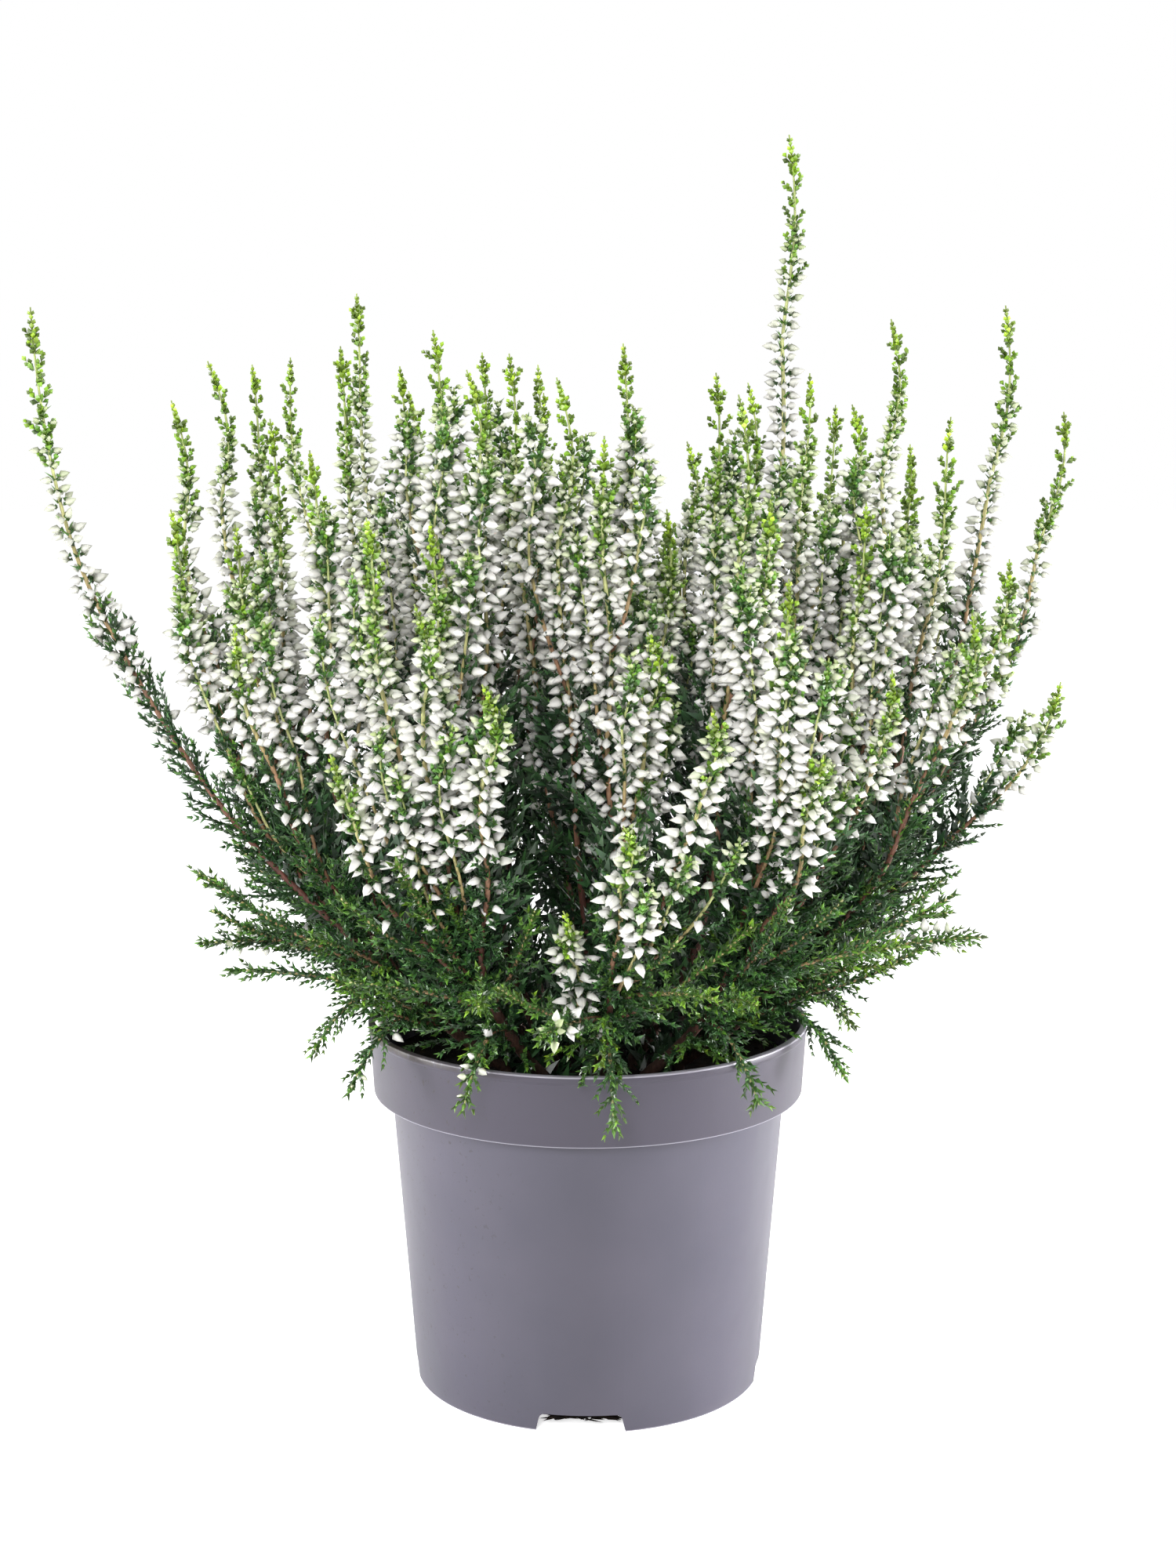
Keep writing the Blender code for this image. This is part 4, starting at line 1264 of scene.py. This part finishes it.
# radii and freshness of the stems
stems = {
    "mainRadii": (1.9 * mm, 1.15 * mm),     # in the soil and at the top
    "shootRadii": ((0, 0.25, 0.7, 1), (1.15 * mm, 0.75 * mm, 0.55 * mm, 0.2 * mm)),
    "spikeRadii": (0.6 * mm, 0.2 * mm),
    "shootFresh": (0.08, 0.28, 0.62, 0.82, 1),
}


def tubeObject(name, tubes, material):
    # round stems as one bevelled curve, made a mesh, with each point's freshness from the nearest station
    curve = bpy.data.curves.new(name, "CURVE")
    curve.dimensions = "3D"
    curve.bevel_depth = mm
    curve.bevel_resolution = 1
    curve.use_fill_caps = True
    stations = []
    for path, radii, fresh in tubes:
        spline = curve.splines.new("POLY")
        spline.points.add(len(radii) - 1)
        spots = np.column_stack((path["points"], np.ones(len(radii))))
        spline.points.foreach_set("co", spots.ravel())
        spline.points.foreach_set("radius", np.asarray(radii) / mm)
        stations += list(zip(path["points"], fresh))
    source = bpy.data.objects.new(name + "_curve", curve)
    bpy.context.scene.collection.objects.link(source)
    piece = bakeObject(name, source, material)
    bpy.data.curves.remove(curve)
    bm = bmesh.new()
    bm.from_mesh(piece.data)
    bmesh.ops.remove_doubles(bm, verts=bm.verts, dist=0.005 * mm)
    bm.to_mesh(piece.data)
    bm.free()
    tree = KDTree(len(stations))
    for i, station in enumerate(stations):
        tree.insert(station[0], i)
    tree.balance()
    values = [stations[tree.find(vert.co)[1]][1] for vert in piece.data.vertices]
    layer = piece.data.attributes.new("fresh", "FLOAT", "POINT")
    layer.data.foreach_set("value", values)
    piece.data.shade_smooth()
    return piece


def growFlowering(site, tip, branching, inner, tubes, heaps, rng):
    # a main flowering shoot with its side spikes
    path = shootPath(site, tip, branching, rng)
    aside = np.interp(abs(tip[0]), flowers["aside"], (0, flowers["higherAside"]))
    foot = min(growth["flowerFoot"], branching + growth["flowerFootShare"] * (tip[2] - branching))
    foot = min(foot + aside, tip[2] - 40 * mm)
    low = float(np.interp(foot, path["points"][:, 2], path["arcs"]))
    radii = np.interp(path["arcs"] / path["length"], *stems["shootRadii"])
    ages = (0, low, 0.55 * low + 0.45 * path["length"], path["length"] - path["tip"], path["length"])
    tubes.append((path, radii, np.interp(path["arcs"], ages, stems["shootFresh"])))
    growFilling(path, inner or site[1] > filling["denseBehind"], heaps, rng)
    # fewer buds on the shoots that stand apart and on the lowest ones, and greyer ones there as painted
    # shade
    apart = max(np.interp(abs(tip[0]), flowers["apart"], (0, 1)), float(tip[2] > flowers["above"]))
    lowest = np.interp(tip[2], flowers["lowest"], (flowers["lowestShare"], 0))
    path["sparse"] = max(apart, lowest)
    growShoot(path, low, "inner" if inner else "leader", heaps, rng)
    for i in range(int(sideSpikes["perShoot"][int(inner)] * (1 - path["sparse"]) + rng.uniform())):
        spike = sideSpike(path, rng)
        spikeLow = float(np.interp(foot, spike["points"][:, 2], spike["arcs"]))
        spikeLow = min(max(spikeLow, 0.2 * spike["length"]), 0.7 * spike["length"])
        share = spike["arcs"] / spike["length"]
        tubes.append((spike, np.interp(share, (0, 1), stems["spikeRadii"]), 0.3 + 0.7 * share))
        growShoot(spike, spikeLow, "side", heaps, rng)


def growSpray(number, site, shoots, tubes, heaps, rng):
    # one main stem with all that it carries
    inner = np.linalg.norm(site) < rimTwigs["edgeSite"]
    for tip, branching in shoots:
        growFlowering(site, tip, branching, inner, tubes, heaps, rng)
    stem = stemPath(site, growth["branching"][1])
    share = stem["arcs"] / stem["length"]
    tubes.append((stem, np.interp(share, (0, 1), stems["mainRadii"]), 0.12 * share))
    growFoliage(stem, 30 * mm, stem["length"], stem["length"], "inner", heaps, rng)
    growFilling(stem, inner, heaps, rng)
    if not inner:
        growSkirt(site, heaps, rng)
        for i in range(leafyShoots["perSpray"]):
            growLeafyShoot(site, tubes, heaps, rng)
    for plan in rimTwigPlan(number, site, len(shoots)):
        growRimTwig(site, plan, tubes, heaps, rng)


def makePlant(materials):
    # the copies that a spray has: their name, shape, material and slot
    kinds = (
        ("twigs", twigShape(), "leaf", "heather_stem"),
        ("leaves", leafShape(), "leaf", "heather_leaf"),
        ("tips", kiteShape(), "leaf", "heather_leaf"),
        ("buds", budShape(), "bud", "heather_bud"),
    )
    total = 0
    for number, site, shoots in sprays():
        node = f"spray_{number:02d}"
        heaps = {kind[0]: newHeap() for kind in kinds}
        tubes = []
        growSpray(number, site, shoots, tubes, heaps, np.random.default_rng(growth["seed"] * 1000 + number))
        pieces = [(tubeObject(node + "_stems", tubes, materials["bark"]), "heather_stem")]
        for name, shape, key, slotName in kinds:
            if heaps[name]["base"]:
                piece = heapObject(f"{node}_{name}", shape, heaps[name], materials[key], name == "buds")
                pieces.append((piece, slotName))
        for piece, slotName in pieces:
            finishPiece(piece, slotName, node)
            total += len(piece.data.polygons)
    print("plant made,", total, "faces")


makeStudio()
soilMaterial = pottingSoil()
makePot(potPlastic())
makeSoil(soilMaterial)
makePlant({"bark": heatherBark(), "leaf": heatherLeaf(), "bud": heatherBud()})

triangles = {}
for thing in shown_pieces():
    thing.data.calc_loop_triangles()
    kind = thing.name.split("_")[-1]
    triangles[kind] = triangles.get(kind, 0) + len(thing.data.loop_triangles)
print("triangles", sum(triangles.values()), triangles)
